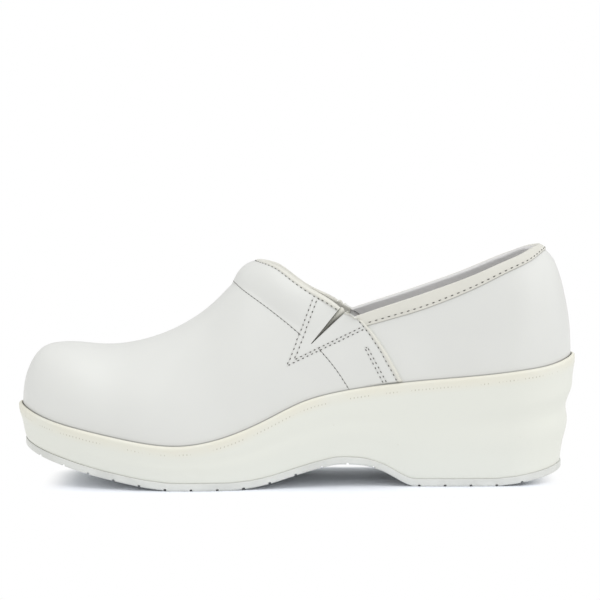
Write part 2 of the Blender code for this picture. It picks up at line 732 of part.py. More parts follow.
def make_upper(wall, finish):
    """Vamp and quarter as one hollow wall, open at the collar and underneath."""
    grid, below = wall.points, wall.below
    outside = np.zeros(grid.shape[:2])
    for i, (side, place) in enumerate(wall.columns):
        if place <= 1:
            edge_gap = (1 - place) * EDGES[side][0][0][2][-1] * EDGE_GAP_PER_THROAT
            step = VAMP_EDGE_STEP * (1 - ease(edge_gap, 0, VAMP_EDGE_FADE))
            pad = PAD_RISE * (1 - ease(place, *PAD_FADE_ZONE))
            swell = np.sin(np.pi * np.clip((below[i] + PAD_ROLL) / (PAD_DEPTH + PAD_ROLL), 0, 1))
            outside[i] = step + pad * swell
            outside[i, :2] = 0
    outer = grid + wall.normals * outside[:, :, None]
    inner = grid - wall.normals * WALL
    inner[:, 0, 2] = grid[:, 0, 2]
    outer[:, 0, 2] = grid[:, 0, 2]
    roll = [THROAT_EDGE_ROLL * (1 - ease(place, *ROLL_FADE_ZONE)) for _, place in wall.columns]
    ridge = (outer[:, -1] + inner[:, -1]) / 2 + wall.up * np.reshape(roll, (-1, 1))

    solid = Solid()
    rings = [solid.ring(outer[:, k]) for k in range(grid.shape[1])]
    rings.append(solid.ring(ridge))
    rings += [solid.ring(inner[:, k]) for k in range(grid.shape[1] - 1, -1, -1)]
    for low, high in zip(rings, rings[1:] + rings[:1]):
        solid.join(low, high)
    upper = solid.finish("upper", finish)
    for side, name in ((LATERAL, "notch_lateral"), (MEDIAL, "notch_medial")):
        cut(upper, make_notch_cutter(side, name + "_cutter"), name)
    return upper


def side_corners(table):
    """Corners of a side-view shape: share of the last's length, and rise above the dip."""
    x = last_x(table.column("share"))
    z = COLLAR_DIP_HEIGHT + table.column("rise") * (THROAT_HEIGHT - COLLAR_DIP_HEIGHT)
    return list(zip(x, z))


def make_notch_cutter(side, name):
    """A wedge through one wall, from the notch's tip out past the top edge."""
    solid = Solid()
    near, far = (side * reach for reach in NOTCH_REACH)
    rings = [solid.ring([(x, y, z) for x, z in side_corners(NOTCH)]) for y in (near, far)]
    solid.join(*rings)
    for end in rings:
        solid.mesh.faces.new(end)
    return solid.finish(name, None)


def make_gore(side, name, finish):
    """Elastic gore against the inside of the wall, behind the notch."""
    front_foot, back_foot, back_top, front_top = (np.array(c) for c in side_corners(GORE))
    columns = []
    for u in np.linspace(0, 1, GORE_STATIONS):
        low, high = mix(front_foot, back_foot, u), mix(front_top, back_top, u)
        column = [mix(low, high, v) for v in np.linspace(0, 1, GORE_STATIONS)]
        columns.append([form_point(x, form_angle(x, z), side) for x, z in column])
    grid = np.array(columns)
    normal = -side * grid_normals(grid, closed=False)
    solid = Solid()
    faces = []
    for depth in (WALL + CLEARANCE, WALL + CLEARANCE + GORE_THICKNESS):
        layer = grid - normal * depth
        rows = [solid.ring(row) for row in layer]
        for first, second in zip(rows, rows[1:]):
            solid.join(first, second, closed=False)
        border = rows[0] + [row[-1] for row in rows[1:]] + rows[-1][-2::-1]
        border += [row[0] for row in rows[-2:0:-1]]
        faces.append(border)
    solid.join(*faces)
    return solid.finish(name, finish)


def binding_profile(place):
    """Section of the binding: depth below the top edge, and offset from the wall's face."""
    out, inside, skin = CLEARANCE, -WALL - CLEARANCE, BINDING_THICKNESS
    depth, shoulder = binding_depth(place), BINDING_SHOULDER * BINDING_THICKNESS
    return [(depth, out), (depth / 2, out), (-CLEARANCE, out), (-CLEARANCE, inside),
            (depth / 2, inside), (depth, inside), (depth, inside - skin),
            (depth / 2, inside - skin), (0.0, inside - skin), (-shoulder, inside - shoulder),
            (-CLEARANCE - skin, (out + inside) / 2), (-shoulder, out + shoulder),
            (0.0, out + skin), (depth / 2, out + skin), (depth, out + skin)]


def make_binding(wall, finish):
    """Collar binding folded over the quarter's top edge, from one side of the vamp to the other."""
    solid = Solid()
    rings = []
    for i, (_, place) in enumerate(wall.columns):
        if place >= collar_place(BINDING_START):
            section = [wall.at(i, depth, offset) for depth, offset in binding_profile(place)]
            rings.append(solid.ring(section))
    for first, second in zip(rings, rings[1:]):
        solid.join(first, second)
    solid.mesh.faces.new(rings[0])
    solid.mesh.faces.new(rings[-1])
    return solid.finish("collar_binding", finish)


def main():
    for item in list(bpy.data.objects):
        bpy.data.objects.remove(item, do_unlink=True)
    leather = material("white_leather", (0.72, 0.72, 0.69), 0.45)
    foam = material("sole_foam", (0.74, 0.75, 0.69), 0.55)
    rubber = material("outsole_rubber", (0.69, 0.70, 0.67), 0.62)
    elastic = material("gore_elastic", (0.70, 0.69, 0.62), 0.85)
    strip = material("binding_strip", (0.72, 0.71, 0.64), 0.50)
    footbed = material("footbed_cover", (0.58, 0.57, 0.56), 0.80)
    make_outsole(rubber)
    make_midsole(foam)
    make_insole(footbed)
    wall = Wall()
    make_upper(wall, leather)
    make_gore(LATERAL, "gore_lateral", elastic)
    make_gore(MEDIAL, "gore_medial", elastic)
    make_binding(wall, strip)


main()
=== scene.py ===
"""Dresses the packed clog: white leather panels with folds and stitches, gores, a grey lining,
the collar binding, the footbed, the moulded sole, a pale floor, soft light and the camera.

Metres, +Z up. The toe points to -X and the outer (lateral) side to -Y, as in the frame.
"""

import bmesh
import bpy
import numpy as np
from bpy.props import FloatProperty, FloatVectorProperty, IntProperty, PointerProperty
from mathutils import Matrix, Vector
from mathutils.bvhtree import BVHTree


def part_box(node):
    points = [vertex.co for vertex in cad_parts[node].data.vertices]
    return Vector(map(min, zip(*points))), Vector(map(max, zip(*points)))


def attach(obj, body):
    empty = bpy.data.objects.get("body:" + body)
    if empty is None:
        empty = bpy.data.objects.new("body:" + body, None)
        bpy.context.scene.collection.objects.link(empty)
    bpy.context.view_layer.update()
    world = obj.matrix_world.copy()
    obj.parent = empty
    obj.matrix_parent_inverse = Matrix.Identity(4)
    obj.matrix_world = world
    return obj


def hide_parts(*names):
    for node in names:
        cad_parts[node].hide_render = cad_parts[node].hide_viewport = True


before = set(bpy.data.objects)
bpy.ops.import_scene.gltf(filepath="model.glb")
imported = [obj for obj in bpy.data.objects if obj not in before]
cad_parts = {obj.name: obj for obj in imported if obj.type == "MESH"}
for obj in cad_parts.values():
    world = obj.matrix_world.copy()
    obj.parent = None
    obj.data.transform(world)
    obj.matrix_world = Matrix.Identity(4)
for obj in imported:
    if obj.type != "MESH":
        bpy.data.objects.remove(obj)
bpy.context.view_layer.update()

bl_info = {
    "name": "Closed-back Clog",
    "version": (1, 0, 0),
    "blender": (4, 5, 0),
    "location": "View3D > Sidebar > Clog",
    "description": "Makes the leather, stitches, lining and sole of a closed-back clog",
    "category": "Object",
}

# Length and widths, as in the solids
SHOE_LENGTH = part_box("midsole")[1][0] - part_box("midsole")[0][0]
BALL_WIDTH = 0.0950
HEEL_WIDTH = 0.0666
RIM_OVERHANG = 0.0020
TOE_ROUNDING = 0.045
HEEL_ROUNDING = 0.031

# Heights of the last above the floor
TOE_FLOOR_HEIGHT = 0.0290
TOE_BOX_HEIGHT = 0.0650
THROAT_HEIGHT = 0.1040
CONE_HEIGHT = 0.1310
HEEL_SEAT_HEIGHT = 0.0495
HEEL_TOP_HEIGHT = 0.1119
COLLAR_DIP_HEIGHT = 0.0792
MEDIAL_THROAT_DROP = 0.0020

# Sole
FOREFOOT_RIM = 0.0208
TOE_RIM = 0.0368
HEEL_RIM = 0.0608
CUP_DEPTH = 0.0055
TOE_SPRING = 0.0173
ARCH_HEIGHT = 0.0107
HEEL_LIFT = 0.0060
OUTSOLE_THICKNESS = 0.0036
OUTSOLE_PROUD = 0.0005
OUTSOLE_EDGE_RADIUS = 0.0010
OUTSOLE_EDGE_BEVEL = 0.0003
SIDE_TAPER = 0.0018
HEEL_SIDE_TAPER = 0.0030
TOE_TAPER = 0.0038
HEEL_TAPER = 0.0069
LIP_RADIUS = 0.0016
TREAD_PITCH = 0.0121
TREAD_GROOVE_WIDTH = 0.0012
TREAD_GROOVE_DEPTH = 0.0009
TREAD_CHANNEL_WIDTH = 0.0030
TREAD_CHANNEL_DEPTH = 0.0008
CUTTER_REACH = 0.0095

# Upper, gores, binding and insole, as in the solids
CLEARANCE = 0.0003
WALL = 0.0024
VAMP_EDGE_STEP = 0.0013
VAMP_EDGE_FADE = 0.0200
PAD_RISE = 0.0024
PAD_DEPTH = 0.0180
PAD_ROLL = 0.0023
GORE_THICKNESS = 0.0012
BINDING_THICKNESS = 0.0007
INSOLE_THICKNESS = 0.0034

# The binding and the footbed of the scene alone
BINDING_DEPTH = 0.0067
BINDING_BACK_DEPTH = 0.0034
BINDING_NARROW_ZONE = (1.0, 2.1)
BINDING_ROW = 0.80
BINDING_SINK = 0.0004
INSOLE_EDGE = 0.001
HEEL_DISH = 0.0012
HEEL_DISH_ZONE = (0.02, 0.08)

# Leather work: panel thickness, folded edges, laps, stitch rows and creases
LEATHER = 0.0013
LINING_TOP = 0.0030
LINING_FOOT = 0.0015
SKIN_GAP = 0.0001
THROAT_FOLD = 0.0019
THROAT_DOUBLED = (0.0030, 0.0045)
LAP_FOLD = 0.0017
LAP_REACH = (0.006, 0.012)
FOLD_EDGE = 0.0003
FOLD_PUFF = 0.00030
UNDER_LAP = 0.0045
UNDER_LAP_TOP = 0.0030
TUCK = 0.0025
RIM_GUARD = (0.0002, 0.0012)
RIM_REACH = 0.0040
ROW_GAP = 0.0002
ROW_DEPTH = 0.00012
ROW_WIDTH = 0.00045
# Strength of the painted shade in the stitch rows' grooves
ROW_SHADE = 0.22
PAD_FADE_ZONE = (0.52, 0.85)
SEAM_HALF = 0.00028
SEAM_END = 0.001
EDGE_BULGE = 0.9
EDGE_TURNS = (40, 90, 140)
THROAT_ROWS_REACH = 0.024
THROAT_ROWS = (4.5, 4.0, 3.5, 3.1, 2.7, 2.4, 2.1, 1.8, 1.5, 1.2, 0.9, 0.6, 0.3, 0.0)

# Stitches: share of the pitch that one covers, sides and rings of its mesh, samples of a path,
# and how the rows of the collar and the seams differ from the others
STITCH_SHARE = 0.44
STITCH_SIDES = 6
STITCH_RINGS = 6
PATH_SAMPLES = 160
COLLAR_ROW_START = 1.004
COLLAR_PITCH = 1.24
SEAM_PITCH = 0.85
SEAM_RADIUS = 0.7

# Gores: fullness in the notch, painted shade low down in it, ribs, and how much higher their tops
# stand than the solids'
GORE_BULGE = 0.0024
GORE_BULGE_ZONE = (0.15, 0.75)
GORE_DARK_ZONE = (0.42, 0.70)
GORE_RIBS = 30
GORE_RIB_DEPTH = 0.0001
GORE_LIFT = 0.0003

# Midsole of the scene alone: how far its foot reaches down, over what share of its height, the
# yellowed band under the rim, and the row of pits in it
MIDSOLE_FOOT_DROP = 0.0002
MIDSOLE_FOOT_SHARE = 0.01
AGED_ZONE = (0.0015, 0.0075)
PIT_DROP = 0.0043
PIT_PITCH = 0.00085
PIT_RADIUS = 0.00045
PIT_WANDER = 0.0006

# Stage
FLOOR_CORNERS = [(-6, -3, 0), (6, -3, 0), (6, 6, 0), (-6, 6, 0)]
SHADOW_CENTRE = (0.003, -0.012)
CAMERA_X = 0.0019

LAST_LENGTH = SHOE_LENGTH - 2 * RIM_OVERHANG
BALL_HALF = BALL_WIDTH / 2 - RIM_OVERHANG
HEEL_HALF = HEEL_WIDTH / 2 - RIM_OVERHANG
LATERAL, MEDIAL = -1, 1
RIB_SAMPLES = 320
RIB_BACK_ZONE = (0.90, 0.99)
RIB_SIDE_ZONE = (0.52, 0.675)
VAMP_EDGE_SWEEP_REACH = 0.45


class Table:
    """Rows of numbers under named columns. The first column says where each row stands."""

    def __init__(self, columns, rows):
        self.columns = columns.split()
        self.rows = np.array(rows, dtype=float)

    def column(self, name):
        return self.rows[:, self.columns.index(name)]

    def smooth(self, name):
        return smooth_curve(self.rows[:, 0], self.column(name))

    def steady(self, name):
        return steady_curve(self.rows[:, 0], self.column(name))


def smooth_curve(at, value):
    """A curve through the points with no kink in its slope or bend."""
    at, value = np.asarray(at, float), np.asarray(value, float)
    step = np.diff(at)
    slope = np.diff(value) / step
    count = len(at)
    matrix, right = np.eye(count), np.zeros(count)
    for i in range(1, count - 1):
        matrix[i, i - 1:i + 2] = step[i - 1], 2 * (step[i - 1] + step[i]), step[i]
        right[i] = 6 * (slope[i] - slope[i - 1])
    bend = np.linalg.solve(matrix, right)

    def curve(x):
        x = np.clip(np.asarray(x, float), at[0], at[-1])
        i = np.clip(np.searchsorted(at, x) - 1, 0, count - 2)
        a, b, h = at[i + 1] - x, x - at[i], step[i]
        line = value[i] * a / h + value[i + 1] * b / h
        return line + (bend[i] * a * (a * a / h - h) + bend[i + 1] * b * (b * b / h - h)) / 6

    return curve


def steady_curve(at, value):
    """A curve through the points that never swings past them and keeps a flat stretch flat."""
    at, value = np.asarray(at, float), np.asarray(value, float)
    step = np.diff(at)
    slope = np.diff(value) / step
    tangent = np.zeros(len(at))
    tangent[0], tangent[-1] = slope[0], slope[-1]
    for i in range(1, len(at) - 1):
        if slope[i - 1] * slope[i] > 0:
            near, far = 2 * step[i] + step[i - 1], step[i] + 2 * step[i - 1]
            tangent[i] = (near + far) / (near / slope[i - 1] + far / slope[i])

    def curve(x):
        x = np.clip(np.asarray(x, float), at[0], at[-1])
        i = np.clip(np.searchsorted(at, x) - 1, 0, len(at) - 2)
        t = (x - at[i]) / step[i]
        start = value[i] * (1 + 2 * t) * (1 - t) ** 2 + tangent[i] * step[i] * t * (1 - t) ** 2
        end = value[i + 1] * t * t * (3 - 2 * t) + tangent[i + 1] * step[i] * t * t * (t - 1)
        return start + end

    return curve


def ease(value, start, end):
    """0 before start, 1 after end, and a smooth change between them."""
    t = np.clip((np.asarray(value, float) - start) / (end - start), 0, 1)
    return t * t * (3 - 2 * t)


def mix(a, b, weight):
    return a + (b - a) * weight


def hump(gap, width):
    """1 at no gap, falling smoothly away over the width."""
    return np.exp(-(np.asarray(gap, float) / width) ** 2)


# Sections of the last along its length, as in the solids
LAST = Table("share ball centre lateral medial fullness", [
    (0.000, 1.00, 0.110, 0.820, 0.810, 0.36),
    (0.060, 1.00, 0.110, 0.895, 0.840, 0.37),
    (0.100, 1.00, 0.105, 0.925, 0.842, 0.38),
    (0.160, 1.00, 0.100, 0.974, 0.873, 0.40),
    (0.215, 1.00, 0.092, 1.053, 0.908, 0.42),
    (0.270, 1.00, 0.084, 1.084, 0.900, 0.44),
    (0.350, 1.00, 0.070, 1.064, 0.840, 0.46),
    (0.425, 0.80, 0.057, 1.045, 0.804, 0.49),
    (0.500, 0.50, 0.044, 1.031, 0.807, 0.50),
    (0.575, 0.25, 0.030, 1.010, 0.844, 0.48),
    (0.650, 0.00, 0.020, 1.026, 0.930, 0.45),
    (0.730, 0.00, 0.011, 1.000, 0.962, 0.42),
    (0.800, 0.00, 0.004, 1.003, 0.990, 0.41),
    (0.880, 0.00, 0.000, 1.000, 1.000, 0.40),
    (1.000, 0.00, 0.000, 0.990, 0.990, 0.40),
])
TOE_CREST = Table("share rise", [
    (0.0000, 0.250), (0.0019, 0.417), (0.0057, 0.556), (0.0122, 0.683), (0.0216, 0.811),
    (0.0338, 0.911), (0.0482, 0.967), (0.0687, 0.994), (0.0907, 1.000), (0.1280, 0.978),
    (0.1636, 0.967),
])
VAMP_CREST = Table("share rise", [
    (0.2077, 0.008), (0.2517, 0.092), (0.2954, 0.228), (0.3394, 0.428), (0.3834, 0.718),
    (0.4127, 0.905), (0.4355, 1.000),
])
CONE_CREST = Table("share rise", [
    (0.5000, 0.296), (0.5950, 0.630), (0.6900, 0.870), (0.7850, 1.000), (0.8610, 0.944),
    (0.9024, 0.752), (0.9290, 0.407),
])
BACK_CREST = Table("share rise", [
    (0.9366, 1.016), (0.9419, 1.000), (0.9480, 0.983), (0.9533, 0.963), (0.9593, 0.939),
    (0.9646, 0.912), (0.9685, 0.887), (0.9715, 0.859), (0.9768, 0.800), (0.9795, 0.766),
    (0.9882, 0.623), (0.9951, 0.473), (0.9985, 0.344), (0.9996, 0.248), (1.0000, 0.136),
])
THROAT_EDGE = Table("share rise", [
    (0.4355, 1.000), (0.4708, 0.899), (0.4996, 0.694), (0.5285, 0.500), (0.5570, 0.323),
    (0.5755, 0.186), (0.5877, 0.105), (0.6044, 0.000),
])
COLLAR_EDGE = Table("share rise", [
    (0.6044, 0.000), (0.6488, 0.117), (0.7198, 0.297), (0.7483, 0.376), (0.8231, 0.603),
    (0.8747, 0.783), (0.9157, 0.919), (0.9300, 0.970), (0.9419, 1.000),
])
VAMP_EDGE_FOOT_SHARE = 0.6974
VAMP_EDGE_SWEEP = 0.70
COLLAR_SPREAD = 0.80
RIM = Table("share toe heel cup", [
    (0.000, 1.000, 0.000, 1.35), (0.036, 0.770, 0.000, 1.20), (0.115, 0.444, 0.000, 1.00),
    (0.196, 0.185, 0.000, 1.00), (0.248, 0.050, 0.000, 1.00), (0.287, 0.000, 0.000, 1.00),
    (0.352, 0.000, 0.053, 1.00), (0.404, 0.000, 0.163, 1.00), (0.455, 0.000, 0.315, 1.00),
    (0.507, 0.000, 0.480, 1.00), (0.560, 0.000, 0.582, 1.00), (0.647, 0.000, 0.672, 1.00),
    (0.734, 0.000, 0.732, 1.00), (0.859, 0.000, 0.812, 1.00), (0.897, 0.000, 0.845, 1.10),
    (0.957, 0.000, 0.910, 1.50), (1.000, 0.000, 1.000, 2.10),
])
UNDERSIDE = Table("share toe arch heel", [
    (0.000, 1.000, 0.000, 0.000), (0.025, 0.844, 0.000, 0.000), (0.057, 0.694, 0.000, 0.000),
    (0.087, 0.578, 0.000, 0.000), (0.124, 0.434, 0.000, 0.000), (0.160, 0.306, 0.000, 0.000),
    (0.196, 0.197, 0.000, 0.000), (0.248, 0.064, 0.000, 0.000), (0.291, 0.000, 0.000, 0.000),
    (0.380, 0.000, 0.000, 0.000), (0.418, 0.000, 0.065, 0.000), (0.455, 0.000, 0.243, 0.000),
    (0.507, 0.000, 0.617, 0.000), (0.542, 0.000, 0.850, 0.000), (0.577, 0.000, 1.000, 0.000),
    (0.612, 0.000, 0.953, 0.000), (0.647, 0.000, 0.720, 0.000), (0.674, 0.000, 0.374, 0.000),
    (0.691, 0.000, 0.140, 0.000), (0.709, 0.000, 0.000, 0.000), (0.844, 0.000, 0.000, 0.000),
    (0.878, 0.000, 0.000, 0.130), (0.911, 0.000, 0.000, 0.350), (0.943, 0.000, 0.000, 0.600),
    (0.965, 0.000, 0.000, 0.820), (1.000, 0.000, 0.000, 1.200),
])
SIDE_PROFILE = Table("height side toe heel", [
    (0.00, 1.00, 1.00, 1.00), (0.10, 0.85, 0.80, 0.92), (0.22, 0.70, 0.68, 0.74),
    (0.33, 0.50, 0.59, 0.54), (0.42, 0.42, 0.50, 0.54), (0.50, 0.40, 0.42, 0.62),
    (0.58, 0.32, 0.31, 0.50), (0.66, 0.22, 0.18, 0.25), (0.78, 0.10, 0.06, 0.15),
    (0.90, 0.00, 0.00, 0.02),
])
HEEL_PROFILE_ZONE = (0.724, 0.911)
NOTCH = Table("share rise", [(0.5266, -0.478), (0.5279, -0.484), (0.6025, 0.242), (0.5858, 0.286)])
GORE = Table("share rise", [(0.511, -0.69), (0.591, -0.77), (0.6000, 0.02), (0.534, 0.42)])
NOTCH_REACH = (0.010, 0.060)
TREAD_ZONES = Table("start end", [(0.0475, 0.650), (0.716, 0.906)])
TREAD_CHANNEL_ZONE = (0.070, 0.890)

# Seams and stitch rows in side view: share of the last's length, and rise above the dip as a
# share of the height from the dip to the throat
SEAM_ONE = [(0.375, 0.70), (0.3872, 0.601), (0.418, 0.403), (0.4472, 0.198), (0.4761, -0.040),
            (0.5068, -0.302)]
SEAM_TWO = [(0.541, -0.585), (0.5566, -0.774), (0.5729, -0.996), (0.597, -1.40)]
V_OUTER = [(0.5304, 0.347), (0.4844, -0.883), (0.6215, -0.216)]
V_INNER = [(0.5376, 0.327), (0.4973, -0.774), (0.6160, -0.185)]
SHORT_ROWS = [[(0.6215, -0.569), (0.6557, -1.258)], [(0.6262, -0.556), (0.6617, -1.246)]]


def last_x(share):
    return LAST_LENGTH * (np.asarray(share, float) - 0.5)


def shoe_x(share):
    return SHOE_LENGTH * (np.asarray(share, float) - 0.5)


def last_share(x):
    return np.asarray(x, float) / LAST_LENGTH + 0.5


def shoe_share(x):
    return np.asarray(x, float) / SHOE_LENGTH + 0.5


def side_view(path):
    """A side-view path in metres from its shares."""
    path = np.array(path, float)
    return np.column_stack([last_x(path[:, 0]),
                            COLLAR_DIP_HEIGHT + path[:, 1] * (THROAT_HEIGHT - COLLAR_DIP_HEIGHT)])


def crest_line():
    """The crest as one dense line, smooth through the four zones."""
    zones = [(TOE_CREST, TOE_FLOOR_HEIGHT, TOE_BOX_HEIGHT),
             (VAMP_CREST, TOE_BOX_HEIGHT, THROAT_HEIGHT),
             (CONE_CREST, THROAT_HEIGHT, CONE_HEIGHT),
             (BACK_CREST, HEEL_SEAT_HEIGHT, HEEL_TOP_HEIGHT)]
    x = np.concatenate([last_x(table.column("share")) for table, _, _ in zones])
    z = np.concatenate([mix(low, high, table.column("rise")) for table, low, high in zones])
    along = np.concatenate([[0], np.cumsum(np.hypot(np.diff(x), np.diff(z)))])
    dense = np.linspace(0, along[-1], 4000)
    return steady_curve(along, x)(dense), smooth_curve(along, z)(dense)


CREST_X, CREST_Z = crest_line()
CURVE = {name: LAST.smooth(name) for name in LAST.columns[1:]}
RIM_TOE, RIM_HEEL, RIM_CUP = RIM.smooth("toe"), RIM.smooth("heel"), RIM.steady("cup")
SPRING, ARCH, LIFT = (UNDERSIDE.steady(name) for name in ("toe", "arch", "heel"))
PROFILE = {name: SIDE_PROFILE.smooth(name) for name in ("side", "toe", "heel")}


def crest(x):
    return np.interp(x, CREST_X, CREST_Z)


def rim(x):
    toe, heel = RIM_TOE(shoe_share(x)), RIM_HEEL(shoe_share(x))
    return FOREFOOT_RIM + toe * (TOE_RIM - FOREFOOT_RIM) + heel * (HEEL_RIM - FOREFOOT_RIM)


def cup_floor(x):
    return rim(x) - CUP_DEPTH * RIM_CUP(shoe_share(x))


def underside(x):
    share = shoe_share(x)
    return SPRING(share) * TOE_SPRING + ARCH(share) * ARCH_HEIGHT + LIFT(share) * HEEL_LIFT


def centre(x):
    return CURVE["centre"](last_share(x)) * BALL_HALF


def fullness(x):
    return CURVE["fullness"](last_share(x))


def half_width(x, side):
    """Half width of the last at the cup's floor, rounded off at the toe and the heel."""
    x, share = np.asarray(x, float), last_share(x)
    reference = mix(HEEL_HALF, BALL_HALF, CURVE["ball"](share))
    wide = reference * CURVE["lateral" if side == LATERAL else "medial"](share)
    toe = np.clip((x + LAST_LENGTH / 2) / TOE_ROUNDING, 0, 1)
    heel = np.clip((LAST_LENGTH / 2 - x) / HEEL_ROUNDING, 0, 1)
    return wide * np.sqrt(1 - (1 - toe) ** 2) * np.sqrt(1 - (1 - heel) ** 2)


def form_point(x, angle, side):
    """A point of the last's surface: angle 0 at the cup's floor, a quarter turn at the crest."""
    y = centre(x) + side * half_width(x, side) * np.cos(angle)
    low = cup_floor(x)
    z = low + (crest(x) - low) * np.sin(angle) ** (2 * fullness(x))
    return np.stack([x, y, z], axis=-1)


def form_angle(x, z):
    """The angle of the last's surface at a place in side view."""
    low = cup_floor(x)
    rise = np.clip((z - low) / (crest(x) - low), 0, 1)
    return np.arcsin(np.clip(rise ** (1 / (2 * fullness(x))), 0, 1))


def arc_lengths(points):
    return np.concatenate([[0], np.cumsum(np.linalg.norm(np.diff(points, axis=0), axis=1))])


def top_edge(side):
    """The upper's top edge on one side, as the throat and the collar, each a dense line."""
    u = np.linspace(0, 1, 900)
    lines = []
    for table, high, pace in ((THROAT_EDGE, THROAT_HEIGHT, u ** 2),
                              (COLLAR_EDGE, HEEL_TOP_HEIGHT, 1 - (1 - u) ** 2)):
        share = mix(table.rows[0, 0], table.rows[-1, 0], pace)
        x = last_x(share)
        z = mix(COLLAR_DIP_HEIGHT, high, table.smooth("rise")(share))
        if table is THROAT_EDGE and side == MEDIAL:
            z = z - MEDIAL_THROAT_DROP * np.sin(np.pi * pace) ** 2
        lines.append((x, form_angle(x, z)))
    lines[0][1][0] = np.pi / 2
    lines[1][1][-1] = np.pi / 2
    return [(x, angle, arc_lengths(form_point(x, angle, side))) for x, angle in lines]


def foot_edge(side):
    """The upper's bottom edge on one side, and where the foot of the vamp's edge stands on it."""
    turn = np.linspace(0, np.pi, 2400)
    x = -LAST_LENGTH / 2 * np.cos(turn)
    length = arc_lengths(form_point(x, np.zeros_like(x), side))
    return x, length, np.interp(last_x(VAMP_EDGE_FOOT_SHARE), x, length)


EDGES = {side: (top_edge(side), foot_edge(side)) for side in (LATERAL, MEDIAL)}


def edge_length(part):
    """Length of the lateral side's top edge: part 0 is the throat's, and part 1 the collar's."""
    return EDGES[LATERAL][0][part][2][-1]


def evenly(x, angle, side):
    """The same paths with their samples spaced evenly along them."""
    points = form_point(x, angle, side)
    even_x, even_angle = [], []
    for i in range(len(x)):
        along = arc_lengths(points[i])
        at = np.linspace(0, along[-1], RIB_SAMPLES)
        even_x.append(np.interp(at, along, x[i]))
        even_angle.append(np.interp(at, along, angle[i]))
    return np.array(even_x), np.array(even_angle)


def ribs(side, places):
    """Dense lines up the form, from its foot to the top edge, one for each place.

    A place runs from 0 at the toe to 1 at the vamp's back edge and 2 at the back of the heel.
    """
    (throat, collar), (foot_x, foot_length, split) = EDGES[side]
    place = np.asarray(places, float)
    ahead = place <= 1
    behind = np.clip(place - 1, 0, 1)
    foot_at = np.where(ahead, place * split, mix(split, foot_length[-1], behind))
    x_foot = np.interp(foot_at, foot_length, foot_x)[:, None]
    tops = []
    for edge, share in ((throat, np.clip(place, 0, 1)), (collar, behind ** COLLAR_SPREAD)):
        tops.append([np.interp(share * edge[2][-1], edge[2], edge[k]) for k in (0, 1)])
    x_top, angle_top = (np.where(ahead, a, b)[:, None] for a, b in zip(*tops))
    z_foot, z_top = cup_floor(x_foot), form_point(x_top, angle_top, side)[..., 2]

    t = np.linspace(0, 1, 400)[None, :]
    reach = t ** 5
    x = mix(x_foot, x_top, reach)
    out = mix(half_width(x_foot, side), half_width(x_top, side) * np.cos(angle_top), reach)
    angle = np.arccos(np.clip(out / np.maximum(half_width(x, side), 1e-9), 0, 1))
    angle[:, 0], angle[:, -1] = 0, angle_top[:, 0]
    in_plan = evenly(x, angle, side)

    back = ease(x_foot, *last_x(RIB_BACK_ZONE))
    front = 1 - ease(x_foot, *last_x(RIB_SIDE_ZONE))
    near_edge = 1 - ease(np.abs(place - 1), 0.0, VAMP_EDGE_SWEEP_REACH)[:, None]
    x = x_top + (x_foot - x_top) * (1 - t) ** mix(1.0, VAMP_EDGE_SWEEP, near_edge)
    angle = form_angle(x, mix(z_foot, z_top, t))
    angle[:, 0], angle[:, -1] = 0, angle_top[:, 0]
    in_side_view = evenly(x, angle, side)

    weight = (1 - front) * (1 - back)
    x, angle = (mix(a, b, weight) for a, b in zip(in_plan, in_side_view))
    return form_point(x, angle, side)


class Sheet:
    """A grid on the last: columns stand on ribs, and rows run from the foot to the top edge."""

    def __init__(self, columns, rows_of, closed=False):
        self.side = np.array([side for side, _ in columns])
        self.place = np.array([place for _, place in columns])
        lines = np.zeros((len(columns), RIB_SAMPLES, 3))
        for side in (LATERAL, MEDIAL):
            mine = self.side == side
            if mine.any():
                lines[mine] = ribs(side, self.place[mine])
        grid, below, up = [], [], []
        for line, place in zip(lines, self.place):
            along = arc_lengths(line)
            at = rows_of(line, along, place)
            grid.append(np.column_stack([np.interp(at, along, line[:, k]) for k in range(3)]))
            below.append(along[-1] - at)
            tip = line[-1] - line[-6]
            up.append(tip / np.linalg.norm(tip))
        self.points, self.below, self.up = np.array(grid), np.array(below), np.array(up)
        self.x, self.z = self.points[:, :, 0], self.points[:, :, 2]
        if closed:
            across = np.roll(self.points, -1, axis=0) - np.roll(self.points, 1, axis=0)
        else:
            across = np.gradient(self.points, axis=0)
        normal = np.cross(across, np.gradient(self.points, axis=1))
        self.normal = normal / np.linalg.norm(normal, axis=2)[:, :, None]
        if np.sum(self.normal[:, :, 1] * self.side[:, None]) < 0:
            self.normal = -self.normal

    def lap_gap(self):
        """Distance from the vamp's back edge on the same side, along the rows."""
        step = np.linalg.norm(np.diff(self.points, axis=0), axis=2)
        length = np.concatenate([np.zeros((1, step.shape[1])), np.cumsum(step, axis=0)])
        edges = []
        for side in (LATERAL, MEDIAL):
            column = np.argmin(np.abs(self.place - 1) + 10 * (self.side != side))
            edges.append(np.abs(length - length[column][None, :]))
        return np.where((self.side == LATERAL)[:, None], edges[0], edges[1])

    def moved(self, offset):
        return self.points + self.normal * np.asarray(offset)[..., None]


def around(front, back):
    """Columns of a strip that runs over the toe, or over the heel, from side to side."""
    lateral = [(LATERAL, place) for place in front]
    return lateral + [(MEDIAL, place) for place in back]


def line_gap(x, z, path):
    """Distance in side view from points to a path."""
    best = np.full(x.shape, np.inf)
    for (ax, az), (bx, bz) in zip(path, path[1:]):
        length = np.hypot(bx - ax, bz - az)
        t = np.clip(((x - ax) * (bx - ax) + (z - az) * (bz - az)) / length ** 2, 0, 1)
        best = np.minimum(best, np.hypot(x - ax - t * (bx - ax), z - az - t * (bz - az)))
    return best


def first_above(line, along, height):
    """How far up a rib the first place above a height lies."""
    return along[np.argmax(line[:, 2] > height)]


def in_scene(name, data):
    """A new object of the data, put into the scene."""
    item = bpy.data.objects.new(name, data)
    bpy.context.scene.collection.objects.link(item)
    return item


